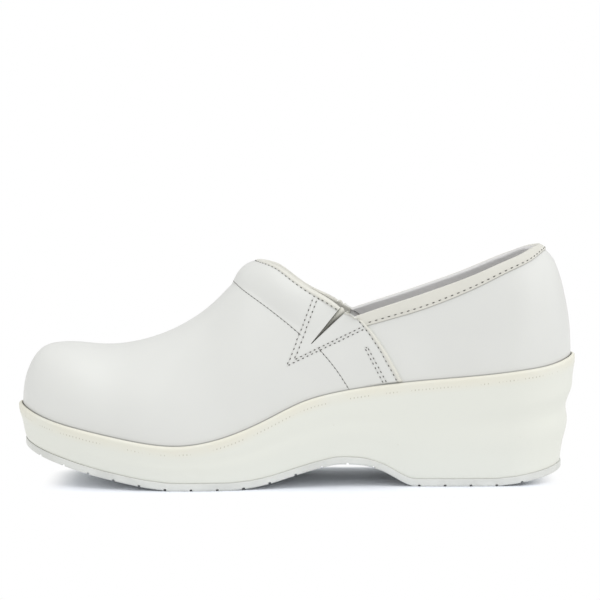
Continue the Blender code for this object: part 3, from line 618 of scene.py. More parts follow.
def link(data, name, finish, replaced=()):
    """Make a piece of a mesh with its finish, put it on the root body, and hide the parts it
    replaces.
    """
    piece = in_scene(name, data)
    data.materials.clear()
    data.materials.append(finish)
    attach(piece, "root")
    if replaced:
        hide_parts(*replaced)


def build_mesh(name, points, faces, values=None):
    """A smooth mesh with its faces turned outwards and its values kept on the points."""
    data = bpy.data.meshes.new(name)
    data.from_pydata([tuple(p) for p in points], [], faces)
    solid = bmesh.new()
    solid.from_mesh(data)
    bmesh.ops.recalc_face_normals(solid, faces=solid.faces)
    solid.to_mesh(data)
    solid.free()
    for key, value in (values or {}).items():
        attribute = data.attributes.new(key, "FLOAT", "POINT")
        attribute.data.foreach_set("value", np.asarray(value, dtype=np.float32))
    data.shade_smooth()
    return data


def border_loop(columns, rows):
    """Grid places round the border of a sheet, and the next place inwards from each."""
    loop = [(c, 0) for c in range(columns)]
    loop += [(columns - 1, r) for r in range(1, rows)]
    loop += [(c, rows - 1) for c in range(columns - 2, -1, -1)]
    loop += [(0, r) for r in range(rows - 2, 0, -1)]
    return loop, [(min(max(c, 1), columns - 2), min(max(r, 1), rows - 2)) for c, r in loop]


def thick_sheet(name, outer, inner, values):
    """One closed sheet from two open grids, with its edges rounded all round."""
    columns, rows = outer.shape[:2]
    count = columns * rows
    points = [outer.reshape(-1, 3), inner.reshape(-1, 3)]
    index = np.arange(count).reshape(columns, rows)
    a, b = index[:-1, :-1].ravel(), index[1:, :-1].ravel()
    c, d = index[1:, 1:].ravel(), index[:-1, 1:].ravel()
    faces = [tuple(f) for f in np.stack([a, b, c, d], axis=1).tolist()]
    faces += [tuple(f) for f in (np.stack([d, c, b, a], axis=1) + count).tolist()]
    loop, inward = border_loop(columns, rows)
    edge = np.array([index[place] for place in loop])
    near = np.array([index[place] for place in inward])
    flat_outer, flat_inner = points
    middle = (flat_outer[edge] + flat_inner[edge]) / 2
    away = middle - (flat_outer[near] + flat_inner[near]) / 2
    away /= np.linalg.norm(away, axis=1)[:, None]
    half = (flat_outer[edge] - flat_inner[edge]) / 2
    radius = np.linalg.norm(half, axis=1)[:, None] * EDGE_BULGE
    layers = [edge]
    for k, turn in enumerate(np.radians(EDGE_TURNS)):
        points.append(middle + half * np.cos(turn) + away * radius * np.sin(turn))
        layers.append(2 * count + k * len(edge) + np.arange(len(edge)))
    layers.append(edge + count)
    for low, high in zip(layers, layers[1:]):
        onward = np.roll(np.arange(len(edge)), -1)
        strip = np.stack([low, high, high[onward], low[onward]], axis=1)
        faces += [tuple(f) for f in strip.tolist()]
    kept = {}
    for key, value in values.items():
        flat = np.asarray(value, float).ravel()
        kept[key] = np.concatenate([flat, flat * 0] + [flat[edge]] * len(EDGE_TURNS))
    return build_mesh(name, np.concatenate(points), faces, kept)


def ring_faces(count, span, ends, first=0):
    """Faces between rings of points, with the ends capped, looped, or covered side to side."""
    index = (first + np.arange(count * span)).reshape(count, span).tolist()
    pairs = list(zip(index, index[1:]))
    if ends == "looped":
        pairs.append((index[-1], index[0]))
    faces = [(low[j], low[(j + 1) % span], high[(j + 1) % span], high[j])
             for low, high in pairs for j in range(span)]
    if ends == "capped":
        faces += [tuple(index[0]), tuple(index[-1])]
    elif ends == "covered":
        for ring in (index[0], index[-1]):
            for i in range(span // 2):
                corners = ring[i], ring[i + 1], ring[span - i - 1], ring[-i]
                faces.append(tuple(dict.fromkeys(corners)))
    return faces


def ring_mesh(name, rings, ends, values=None):
    """A mesh from rings of points, joined one to the next."""
    rings = np.asarray(rings)
    faces = ring_faces(*rings.shape[:2], ends)
    return build_mesh(name, rings.reshape(-1, 3), faces, values)


def cut_away(data, cutters, sharp):
    """The mesh with the cutters taken out of it, hard at the edges past an angle in degrees."""
    body, *knives = (in_scene("uncut", item) for item in (data, *cutters))
    for knife in knives:
        boolean = body.modifiers.new("cut", "BOOLEAN")
        boolean.operation, boolean.solver, boolean.object = "DIFFERENCE", "EXACT", knife
    bpy.context.view_layer.update()
    evaluated = body.evaluated_get(bpy.context.evaluated_depsgraph_get())
    cut = bpy.data.meshes.new_from_object(evaluated)
    for item in (body, *knives):
        bpy.data.objects.remove(item, do_unlink=True)
    cut.shade_smooth()
    cut.set_sharp_from_angle(angle=np.radians(sharp))
    return cut


class Field:
    """A number, colour or vector inside a finish. Sums and products of fields add nodes."""

    def __init__(self, finish, socket):
        self.finish, self.socket = finish, socket

    def maths(self, operation, *others):
        values = dict(enumerate((self,) + others))
        return self.finish.add("ShaderNodeMath", {"operation": operation}, values)

    def __add__(self, other):
        return self.maths("ADD", other)

    def __mul__(self, other):
        return self.maths("MULTIPLY", other)

    def __sub__(self, other):
        return self.maths("SUBTRACT", other)

    def __rsub__(self, other):
        return self.finish.add("ShaderNodeMath", {"operation": "SUBTRACT"}, {0: other, 1: self})

    def __truediv__(self, other):
        return self.maths("DIVIDE", other)

    def __pow__(self, other):
        return self.maths("POWER", other)

    __radd__, __rmul__ = __add__, __mul__

    def between(self, low, high, start=0.0, end=1.0):
        """Start below low, end above high, and a smooth change between them."""
        inputs = {"Value": self, "From Min": low, "From Max": high, "To Min": start, "To Max": end}
        return self.finish.add("ShaderNodeMapRange", {"interpolation_type": "SMOOTHSTEP"}, inputs)


class Finish:
    """A Principled material, and the nodes that vary it over the surface."""

    def __init__(self, name, constants):
        self.material = bpy.data.materials.new(name)
        self.material.use_nodes = True
        self.tree = self.material.node_tree
        self.shader = self.tree.nodes["Principled BSDF"]
        for key, value in constants.items():
            self.put(self.shader.inputs[key], value)

    def put(self, socket, value):
        if isinstance(value, Field):
            self.tree.links.new(value.socket, socket)
        elif socket.type == "RGBA" and len(value) == 3:
            socket.default_value = (*value, 1)
        else:
            socket.default_value = value

    def add(self, kind, settings, inputs, output=0):
        """Add a node: its settings first, then the values or links of its sockets."""
        node = self.tree.nodes.new(kind)
        for key, value in settings.items():
            setattr(node, key, value)
        for key, value in inputs.items():
            self.put(node.inputs[key], value)
        return Field(self, node.outputs[output])

    def set(self, **values):
        for key, value in values.items():
            self.put(self.shader.inputs[key.replace("_", " ")], value)

    def value(self, name):
        """A value kept on the mesh's points."""
        return self.add("ShaderNodeAttribute", {"attribute_name": name}, {}, "Fac")

    def place(self):
        return self.add("ShaderNodeTexCoord", {}, {}, "Object")

    def coordinates(self, axes):
        """The named coordinates of each place, as numbers."""
        place = self.place()
        return [self.add("ShaderNodeSeparateXYZ", {}, {0: place}, axis) for axis in axes]

    def noise(self, scale, detail):
        inputs = {"Vector": self.place(), "Scale": scale, "Detail": detail}
        return self.add("ShaderNodeTexNoise", {}, inputs, "Fac")

    def cells(self, scale):
        inputs = {"Vector": self.place(), "Scale": scale}
        return self.add("ShaderNodeTexVoronoi", {}, inputs, "Distance")

    def blend(self, first, second, factor):
        """A colour between two colours."""
        inputs = {0: factor, 6: first, 7: second}
        return self.add("ShaderNodeMix", {"data_type": "RGBA"}, inputs, 2)

    def dimmed(self, colour, level):
        """A colour brought down towards black."""
        return self.blend((0, 0, 0), colour, level)

    def bump(self, height, distance, strength):
        inputs = {"Height": height, "Distance": distance, "Strength": strength}
        self.put(self.shader.inputs["Normal"], self.add("ShaderNodeBump", {}, inputs))


def tint(name, description, default):
    """A setting for a colour."""
    return FloatVectorProperty(name=name, description=description, default=default,
                               subtype="COLOR", size=3, min=0, max=1)


def length(name, description, low, high, default):
    """A setting for a length."""
    return FloatProperty(name=name, description=description, default=default, unit="LENGTH",
                         min=low, max=high)


def light(name, description, high, default):
    """A setting for the strength of a light."""
    return FloatProperty(name=name, description=description, default=default, min=0, max=high)


class ClogLeather(bpy.types.PropertyGroup):
    """Colours and grain of the upper"""

    colour: tint("Leather", "Colour of the smooth leather", (0.718, 0.725, 0.700))
    fold: tint("Folded edge", "Colour of folded edges and the binding", (0.690, 0.682, 0.622))
    # Painted shade: this colour darkens the stitch grooves, the butted seams, a thin line along the
    # rim and the line under the binding's edge
    seam: tint("Seam", "Colour in the depth of a seam", (0.22, 0.21, 0.19))
    turned: tint("Inner face", "Colour of the binding's inner face", (0.70, 0.693, 0.690))
    lining: tint("Lining", "Colour of the lining", (0.93, 0.925, 0.920))
    gore: tint("Gore", "Colour of the elastic gores", (0.74, 0.73, 0.66))
    grain: length("Grain", "Depth of the leather's grain", 0, 0.001, 0.00003)


class ClogThread(bpy.types.PropertyGroup):
    """Sewing thread"""

    colour: tint("Thread", "Colour of the thread", (0.05, 0.05, 0.042))
    pitch: length("Stitch length", "Distance from one stitch to the next", 0.001, 0.01, 0.0025)
    radius: length("Thread radius", "Radius of the thread", 0.0001, 0.001, 0.00022)


class ClogSole(bpy.types.PropertyGroup):
    """Colours and mesh of the sole"""

    foam: tint("Midsole", "Colour of the midsole", (0.757, 0.768, 0.708))
    aged: tint("Yellowed rim", "Colour of the midsole under its rim", (0.765, 0.750, 0.655))
    rubber: tint("Outsole", "Colour of the outsole", (0.708, 0.718, 0.685))
    footbed: tint("Footbed", "Colour of the footbed's cover", (0.58, 0.575, 0.56))
    stations: IntProperty(
        name="Stations", description="Mesh stations on each side of the sole",
        min=40, max=400, default=190)


class ClogStage(bpy.types.PropertyGroup):
    """Floor, light and camera"""

    distance: length("Camera distance", "From the camera to the shoe's middle line", 0.3, 5, 1.050)
    height: length("Camera height", "Height of the camera above the floor", 0, 2, 0.1600)
    tilt: FloatProperty(
        name="Camera tilt", description="How far the camera looks down", subtype="ANGLE",
        min=0, max=1, default=0.0710)
    lens: FloatProperty(
        name="Focal length", description="Focal length in millimetres", subtype="DISTANCE_CAMERA",
        min=20, max=300, default=131.7)
    floor: tint("Floor", "Colour of the floor", (0.915, 0.94, 1.0))
    pool: FloatVectorProperty(
        name="Shadow", description="Half length and half width of the floor that keeps a shadow",
        subtype="XYZ_LENGTH", size=2, min=0.01, max=1, default=(0.118, 0.044))
    surround: light("Surround", "Light from all around", 4, 0.70)
    key: light("Key", "Light from above", 10, 1.05)
    fill: light("Fill", "Light from the front", 10, 0.50)
    ends: light("Ends", "Light from the toe and the heel", 10, 0.35)


def settings(name):
    return getattr(bpy.context.scene, name)


def drawn_seams(finish):
    """1 along the middle of the two butted seams, and 0 a thread's width away from them."""
    x, z = finish.coordinates("XZ")
    total = 0.0
    for path in (SEAM_ONE, SEAM_TWO):
        at, high = side_view(path).T
        rise, *factors = (float(factor) for factor in np.polyfit(at, high, 3))
        for factor in factors:
            rise = rise * x + factor
        lean = float(np.hypot(1, (high[-1] - high[0]) / (at[-1] - at[0])))
        gap = (z - rise).maths("ABSOLUTE") / lean
        ends = x.between(at[0] - SEAM_END, at[0]) * x.between(at[-1], at[-1] + SEAM_END, 1.0, 0.0)
        total = gap.between(SEAM_HALF * 0.3, SEAM_HALF, 1.0, 0.0) * ends + total
    return total


def leather_finish():
    """Smooth coated leather: fine grain, cream folded edges, and painted shade in the seams, the
    stitch grooves and along the rim.
    """
    look = settings("clog_leather")
    finish = Finish("smooth_leather", {"Coat Weight": 0.06, "Coat Roughness": 0.30, "IOR": 1.46})
    plain = finish.dimmed(look.colour, finish.noise(16.0, 3.0).between(0.35, 0.65, 0.965, 1.0))
    edged_and_shaded = finish.blend(plain, look.fold, finish.value("fold"))
    groove = drawn_seams(finish)
    # Painted shade: the stitch grooves, the butted seams' grooves, and a thin dark line along the
    # rim where the leather meets the sole
    rim_shadow = finish.value("sunk").between(RIM_REACH - 0.0006, RIM_REACH - 0.0002)
    for painted_shade in (finish.value("seam"), groove * 0.70, rim_shadow * 0.45):
        edged_and_shaded = finish.blend(edged_and_shaded, look.seam, painted_shade)
    grain = finish.noise(420.0, 3.0)
    finish.set(Base_Color=edged_and_shaded, Roughness=grain.between(0.3, 0.7, 0.40, 0.48))
    finish.bump(finish.cells(1500.0) * 0.5 + grain - groove * 8, look.grain, 0.55)
    return finish.material


def binding_finish():
    """Thin cream strip, a little softer than the leather."""
    look = settings("clog_leather")
    finish = Finish("cream_strip", {"Coat Weight": 0.06, "Coat Roughness": 0.35})
    plain = finish.dimmed(look.fold, finish.noise(60.0, 3.0).between(0.3, 0.7, 0.95, 1.0))
    lined = finish.blend(plain, look.turned, finish.value("inner"))
    grain = finish.noise(700.0, 3.0)
    # Painted shade from the mesh, under the lower edge and in the stitch groove
    finish.set(Base_Color=finish.blend(lined, look.seam, finish.value("seam")),
               Roughness=grain.between(0.3, 0.7, 0.46, 0.56))
    finish.bump(grain, look.grain, 0.8)
    return finish.material


def lining_finish():
    """Soft grey lining with a fine pile."""
    finish = Finish("grey_lining", {"Sheen Weight": 0.15, "Sheen Roughness": 0.6,
                                    "Roughness": 0.82})
    cloud = finish.noise(40.0, 2.0).between(0.3, 0.7, 0.90, 1.0)
    finish.set(Base_Color=finish.dimmed(settings("clog_leather").lining, cloud))
    finish.bump(finish.noise(1300.0, 4.0), 0.0001, 0.7)
    return finish.material


def gore_finish():
    """Ribbed elastic webbing, with painted shade low down in the notch."""
    finish = Finish("elastic_web", {"Sheen Weight": 0.10, "Roughness": 0.85})
    ribbed = finish.value("rib").between(0.0, 1.0, 0.85, 1.0)
    plain = finish.dimmed(settings("clog_leather").gore, ribbed)
    finish.set(Base_Color=finish.blend(plain, (0.10, 0.10, 0.085), finish.value("shade")))
    finish.bump(finish.noise(2200.0, 2.0), 0.00008, 0.8)
    return finish.material


def thread_finish():
    """Twisted dark thread."""
    look = settings("clog_thread")
    finish = Finish("thread", {"Sheen Weight": 0.1, "Roughness": 0.75})
    twist = finish.noise(2600.0, 2.0)
    pale = tuple(min(1.0, level * 1.8) for level in look.colour)
    finish.set(Base_Color=finish.blend(look.colour, pale, twist))
    finish.bump(twist, 0.00006, 0.8)
    return finish.material


def foam_finish():
    """Moulded midsole: satin skin, yellowed under the rim, with a row of fine pits and scuffs, and
    painted shade at its joints with the upper and the outsole.
    """
    look = settings("clog_sole")
    finish = Finish("moulded_foam", {"IOR": 1.46})
    below, along = finish.value("below_rim"), finish.value("along")
    patches = finish.noise(45.0, 3.0).between(0.3, 0.6, 0.45, 1.0)
    aged = below.between(*AGED_ZONE, 1.0, 0.0) * patches
    scuff = (finish.cells(140.0).between(0.02, 0.07, 1.0, 0.0)
             * finish.noise(30.0, 2.0).between(0.55, 0.68))
    off_row = below - PIT_DROP + finish.noise(90.0, 1.0) * PIT_WANDER
    row = (off_row * off_row).between(0.0, PIT_RADIUS ** 2, 1.0, 0.0)
    dots = (along * (np.pi / PIT_PITCH)).maths("SINE").between(0.55, 0.95)
    pits = row * dots * finish.noise(110.0, 2.0).between(0.44, 0.56)
    colour = look.foam
    # The last tone is painted shade at the joints with the upper and the outsole
    for tone, share in ((look.aged, aged), ((0.60, 0.585, 0.52), scuff * 0.35),
                        ((0.17, 0.155, 0.115), finish.value("joint_shade")),
                        ((0.50, 0.47, 0.39), pits * 0.85)):
        colour = finish.blend(colour, tone, share)
    skin = finish.noise(260.0, 4.0)
    finish.set(Base_Color=colour, Roughness=skin.between(0.3, 0.7, 0.50, 0.60))
    finish.bump(skin * 0.4 - pits * 1.2 - scuff * 0.5, 0.00010, 0.6)
    return finish.material


def rubber_finish():
    """Moulded outsole rubber with a light dusting, and painted shade along its top edge under the
    midsole.
    """
    finish = Finish("moulded_rubber", {})
    dust = finish.noise(70.0, 4.0).between(0.35, 0.70, 1.0, 0.90)
    plain = finish.dimmed(settings("clog_sole").rubber, dust)
    skin = finish.noise(600.0, 3.0)
    # Painted shade along the top edge, under the midsole
    finish.set(Base_Color=finish.blend(plain, (0.25, 0.25, 0.24), finish.value("joint_shade")),
               Roughness=skin.between(0.3, 0.7, 0.56, 0.68))
    finish.bump(skin, 0.00008, 0.6)
    return finish.material


def footbed_finish():
    """Brushed footbed cover."""
    finish = Finish("brushed_cover", {"Sheen Weight": 0.1, "Roughness": 0.8})
    cloud = finish.noise(30.0, 2.0).between(0.3, 0.7, 0.88, 1.0)
    finish.set(Base_Color=finish.dimmed(settings("clog_sole").footbed, cloud))
    finish.bump(finish.noise(900.0, 4.0), 0.00010, 0.7)
    return finish.material


def floor_finish():
    """Pale floor, lit by the lamps near the shoe, that glows white as painted light away from it,
    so that the shadow shows only near the shoe.
    """
    look = settings("clog_stage")
    finish = Finish("pale_floor", {"Roughness": 0.9, "Specular IOR Level": 0.0,
                                   "Emission Strength": 1.0})
    x, y = ((place - middle) / half for place, middle, half in
            zip(finish.coordinates("XY"), SHADOW_CENTRE, look.pool))
    # Painted light: the floor glows white outside the pool round the shoe
    painted_glow = (x ** 6 + y ** 6).between(0.45, 1.30)
    finish.set(Base_Color=finish.blend(look.floor, (0, 0, 0), painted_glow),
               Emission_Color=finish.dimmed((1, 1, 1), painted_glow))
    return finish.material


def finish_named(name, make):
    """The finish of that name, made the first time it is asked for."""
    return bpy.data.materials.get(name) or make()


def row_paths():
    """Paths in side view of the stitch rows that lie on the vamp's face."""
    short_top = [row[0] for row in SHORT_ROWS]
    return [side_view(path) for path in (V_OUTER, V_INNER, *SHORT_ROWS, short_top)]


def sunk(sheet):
    """How far each point lies under a line a little above the rim."""
    return np.maximum(RIM_REACH + rim(sheet.x) - sheet.z, 0)


def vamp_relief(sheet):
    """How far the vamp's face stands off the last, where its folds and creases are, and the painted
    shade in its grooves.
    """
    lap, below = sheet.lap_gap(), sheet.below
    place = np.broadcast_to(sheet.place[:, None], below.shape)
    step = VAMP_EDGE_STEP * (1 - ease(lap, 0, VAMP_EDGE_FADE))
    pad = PAD_RISE * (1 - ease(place, *PAD_FADE_ZONE))
    swell = np.sin(np.pi * np.clip((below + PAD_ROLL) / (PAD_DEPTH + PAD_ROLL), 0, 1))
    offset = (step + pad * swell) * ease(sheet.z - rim(sheet.x), *RIM_GUARD)
    fold = shape = row = np.zeros(below.shape)
    for gap, width in ((below, THROAT_FOLD), (lap, LAP_FOLD)):
        fold = np.maximum(fold, 1 - ease(gap, width - FOLD_EDGE, width + FOLD_EDGE))
        shape = np.maximum(shape, np.sin(np.pi * np.clip(gap / width, 0, 1)) ** 0.7)
        row = np.maximum(row, hump(gap - width - ROW_GAP, 2 * ROW_GAP))
    offset += FOLD_PUFF * shape * fold
    offset -= 1.6 * ROW_DEPTH * row
    # Painted shade in the grooves beside the folds and along the stitch rows
    seam = 0.25 * row
    for path in row_paths():
        gap = line_gap(sheet.x, sheet.z, path)
        offset -= ROW_DEPTH * hump(gap, ROW_WIDTH)
        seam = np.maximum(seam, ROW_SHADE * hump(gap, 0.6 * ROW_WIDTH))
    return offset, {"fold": fold, "seam": seam, "sunk": sunk(sheet)}


def vamp_rows(line, along, place):
    """Rows of the vamp: even up the side, then closer towards the throat's edge."""
    low = first_above(line, along, rim(line[:, 0]) - TUCK)
    near = min(THROAT_ROWS_REACH, 0.55 * (along[-1] - low))
    edge = np.array(THROAT_ROWS) * 0.001
    lower = np.linspace(low, along[-1] - near, 50, endpoint=False)
    upper = np.linspace(along[-1] - near, along[-1] - edge[0], 34, endpoint=False)
    return np.concatenate([lower, upper, along[-1] - edge])


def cut_notches(data):
    """The mesh with a notch cut through each wall, from its tip out past the top edge."""
    corners = side_view(NOTCH.rows)
    wedges = [ring_mesh("notch_wedge", [[(x, side * reach, z) for x, z in corners]
                                        for reach in NOTCH_REACH], "capped")
              for side in (LATERAL, MEDIAL)]
    return cut_away(data, wedges, 50)


class CLOG_OT_vamp(bpy.types.Operator):
    """Make the vamp: a padded panel, folded along the throat and lapped over the quarter"""

    bl_idname = "clog.vamp"
    bl_label = "Vamp"

    def execute(self, context):
        places = np.concatenate([np.linspace(0, 0.5, 66, endpoint=False),
                                 np.linspace(0.5, 1, 112)])
        sheet = Sheet(around(places[:0:-1], places), vamp_rows)
        offset, values = vamp_relief(sheet)
        doubled = 1 - ease(sheet.below, *THROAT_DOUBLED)
        lapped = 1 - ease(sheet.lap_gap(), *LAP_REACH)
        inside = mix(-LEATHER, -WALL, doubled)
        inside = mix(inside, SKIN_GAP / 2, lapped * (1 - doubled))
        inside = np.where(sheet.z < rim(sheet.x) + RIM_GUARD[1], -LEATHER, inside)
        data = thick_sheet("vamp", sheet.moved(offset), sheet.moved(inside), values)
        finish = finish_named("smooth_leather", leather_finish)
        link(cut_notches(data), "vamp", finish, ("upper",))
        return {"FINISHED"}


def quarter_rows(line, along, place):
    """Rows from below the rim to the top edge, or short of it under the vamp's lap."""
    low = first_above(line, along, rim(line[:, 0]) - TUCK)
    top = along[-1] - (0.0 if place >= 1 else UNDER_LAP_TOP)
    return np.linspace(low, top, 56)


class CLOG_OT_quarter(bpy.types.Operator):
    """Make the quarter: the leather round the heel, which starts under the vamp's lap"""

    bl_idname = "clog.quarter"
    bl_label = "Quarter"

    def execute(self, context):
        front = 1 - UNDER_LAP / edge_length(0) / 1.6
        places = np.concatenate([np.linspace(front, 1, 8, endpoint=False), np.linspace(1, 2, 120)])
        sheet = Sheet(around(places, places[-2::-1]), quarter_rows)
        tucked = np.broadcast_to((sheet.place < 1)[:, None], sheet.below.shape)
        outside = np.where(tucked, -SKIN_GAP, 0.0)
        values = {"fold": 0 * sheet.below, "seam": 0 * sheet.below, "sunk": sunk(sheet)}
        data = thick_sheet("quarter", sheet.moved(outside), sheet.moved(outside - LEATHER), values)
        finish = finish_named("smooth_leather", leather_finish)
        link(data, "quarter", finish, ("upper",))
        return {"FINISHED"}


def lining_rows(line, along, place):
    """Rows from the cup's floor to a little below the top edge."""
    low = first_above(line, along, cup_floor(line[:, 0]) + LINING_FOOT)
    return np.linspace(low, along[-1] - LINING_TOP, 44)


class CLOG_OT_lining(bpy.types.Operator):
    """Make the lining: one grey layer round the whole inside"""

    bl_idname = "clog.lining"
    bl_label = "Lining"

    def execute(self, context):
        places = np.concatenate([np.linspace(0, 1, 100, endpoint=False), np.linspace(1, 2, 80)])
        sheet = Sheet(around(places, places[-2:0:-1]), lining_rows, closed=True)
        outer, inner = sheet.moved(-LEATHER - SKIN_GAP), sheet.moved(-WALL + SKIN_GAP / 2)
        rings = np.concatenate([outer, inner[:, ::-1]], axis=1).transpose(1, 0, 2)
        data = ring_mesh("lining", rings, "looped")
        finish = finish_named("grey_lining", lining_finish)
        link(cut_notches(data), "lining", finish, ("upper",))
        return {"FINISHED"}


class CLOG_OT_gores(bpy.types.Operator):
    """Make the elastic gores behind the notches"""

    bl_idname = "clog.gores"
    bl_label = "Gores"

    def execute(self, context):
        finish = finish_named("elastic_web", gore_finish)
        front_foot, back_foot, back_top, front_top = side_view(GORE.rows)
        u, v = np.meshgrid(np.linspace(0, 1, 100), np.linspace(0, 1, 60), indexing="ij")
        low = mix(front_foot, back_foot, u[..., None])
        high = mix(front_top, back_top, u[..., None])
        flat = mix(low, high, v[..., None])
        rib = 0.5 + 0.5 * np.cos(2 * np.pi * u * GORE_RIBS)
        left_tip, right_tip, right_mouth, left_mouth = side_view(NOTCH.rows)
        x, z = flat[..., 0], flat[..., 1]
        left, right = (np.interp(z, (tip[1], mouth[1]), (tip[0], mouth[0])) for tip, mouth in
                       ((left_tip, left_mouth), (right_tip, right_mouth)))
        across = np.clip((x - left) / (right - left), 0, 1) * (z > left_tip[1])
        rise = (z - left_tip[1]) / (z.max() - left_tip[1])
        bulge = GORE_BULGE * ease(rise, *GORE_BULGE_ZONE) * np.sin(np.pi * across) ** 0.7
        # Painted shade: darker low down in the notch and towards its edge nearer the heel
        shade = (1 - ease(rise, *GORE_DARK_ZONE)) * mix(0.6, 1.0, ease(across, 0.3, 0.9))
        face = -WALL - CLEARANCE + GORE_RIB_DEPTH * (rib - 1) + bulge
        angle = form_angle(x, z + GORE_LIFT * v)
        for side, name in ((LATERAL, "gore_lateral"), (MEDIAL, "gore_medial")):
            grid = form_point(x, angle, side)
            normal = np.cross(np.gradient(grid, axis=0), np.gradient(grid, axis=1))
            normal /= np.linalg.norm(normal, axis=2)[..., None]
            normal *= side * np.sign(np.sum(normal[..., 1]))
            outer = grid + normal * face[..., None]
            inner = grid - normal * (WALL + CLEARANCE + GORE_THICKNESS)
            data = thick_sheet(name, outer, inner, {"rib": rib, "shade": shade})
            link(data, name + "_web", finish, (name,))
        return {"FINISHED"}


def binding_depth(place):
    return mix(BINDING_DEPTH, BINDING_BACK_DEPTH, ease(place, *BINDING_NARROW_ZONE))


def binding_section():
    """Section of the binding: share of its depth, rise, offset from the wall, and painted shade
    under its lower edge and in its stitch groove.
    """
    out, inside, skin = CLEARANCE - BINDING_SINK, -WALL - CLEARANCE, BINDING_THICKNESS
    face, back = out + skin, inside - skin
    middle, radius = (face + back) / 2, (face - back) / 2
    # The last number is painted shade: dark on the binding's lower edge over the quarter, and faint
    # in the stitch groove
    section = [(1.0, 0, out, 1.0), (1.015, 0, out + 0.45 * skin, 0.85),
               (0.985, 0, out + 0.8 * skin, 0.3)]
    for share in np.linspace(0.94, 0.06, 14):
        row = hump(share - BINDING_ROW, 0.055)
        puff = 0.00016 * np.sin(np.pi * share)
        section.append((share, 0, face + puff - 1.2 * ROW_DEPTH * row, 0.1 * row))
    for turn in np.radians(np.linspace(0, 180, 13)):
        rise = (CLEARANCE + skin) * np.sin(turn) ** 0.8
        section.append((0, rise, middle + radius * np.cos(turn), 0.0))
    section += [(share, 0, back, 0.0) for share in np.linspace(0.14, 0.97, 6)]
    section += [(1.0, 0, inside - 0.6 * skin, 0.0), (1.0, 0, inside, 0.0), (0.5, 0, inside, 0.0),
                (0.0, 0.8 * CLEARANCE, inside, 0.0), (0.0, 0.8 * CLEARANCE, out, 0.0),
                (0.5, 0, out, 0.0)]
    return section


class CLOG_OT_binding(bpy.types.Operator):
    """Make the collar binding, folded over the quarter's top edge"""

    bl_idname = "clog.binding"
    bl_label = "Collar binding"

    def execute(self, context):
        section = binding_section()
        shares = sorted({share for share, _, _, _ in section}, reverse=True)
        start = 1 + (CLEARANCE / edge_length(1)) ** (1 / COLLAR_SPREAD)
        places = np.concatenate([[start], np.linspace(1, 2, 130)[1:]])
        sheet = Sheet(around(places, places[-2::-1]), lambda line, along, place:
                      along[-1] - np.array(shares) * binding_depth(place))
        rings = []
        for share, rise, offset, _ in section:
            k = shares.index(share)
            rings.append(sheet.points[:, k] + sheet.normal[:, k] * offset + sheet.up * rise)
        rings = np.array(rings).transpose(1, 0, 2)
        painted_shade = np.tile([item[3] for item in section], len(rings))
        inner = np.tile([ease(-item[2], 0.45 * WALL, 0.75 * WALL) for item in section], len(rings))
        data = ring_mesh("binding_strip", rings, "capped", {"seam": painted_shade, "inner": inner})
        data.set_sharp_from_angle(angle=np.radians(60))
        finish = finish_named("cream_strip", binding_finish)
        link(data, "binding_strip", finish, ("collar_binding",))
        return {"FINISHED"}


def sole_loops(count):
    """The last's plan outline from the toe round the lateral side, the heel and the medial side."""
    turn = np.linspace(0, np.pi, 4000)
    x = -LAST_LENGTH / 2 * np.cos(turn)
    sides, arcs = {}, []
    for side in (LATERAL, MEDIAL):
        line = np.stack([x, centre(x) + side * half_width(x, side)], axis=-1)
        along = np.gradient(line, axis=0)
        normal = np.stack([-side * along[:, 1], side * along[:, 0]], axis=-1)
        normal[0], normal[-1] = (-1, 0), (1, 0)
        sides[side] = line, normal / np.linalg.norm(normal, axis=1)[:, None]
        arcs.append(arc_lengths(line))
    mean = np.mean(arcs, axis=0)
    at = np.linspace(0, mean[-1], count + 1)
    loops = []
    for k in (0, 1):
        parts = [np.stack([np.interp(at, mean, sides[side][k][:, i]) for i in (0, 1)], axis=-1)
                 for side in (LATERAL, MEDIAL)]
        loops.append(np.concatenate([parts[0], parts[1][-2:0:-1]]))
    return loops


def taper_at(x, normal, height):
    """How far the midsole's side lies inside its widest line at a share of its height."""
    row = {name: PROFILE[name](height) for name in PROFILE}
    toe = np.clip(-normal[:, 0], 0, 1) ** 1.5
    heel = np.clip(normal[:, 0], 0, 1) ** 1.5
    back = ease(x, *shoe_x(HEEL_PROFILE_ZONE))
    side = mix(SIDE_TAPER, HEEL_SIDE_TAPER, back) * mix(row["side"], row["heel"], back)
    return toe * TOE_TAPER * row["toe"] + heel * HEEL_TAPER * row["heel"] + (1 - toe - heel) * side


def midsole_bottom(x):
    return underside(x) + OUTSOLE_THICKNESS + CLEARANCE


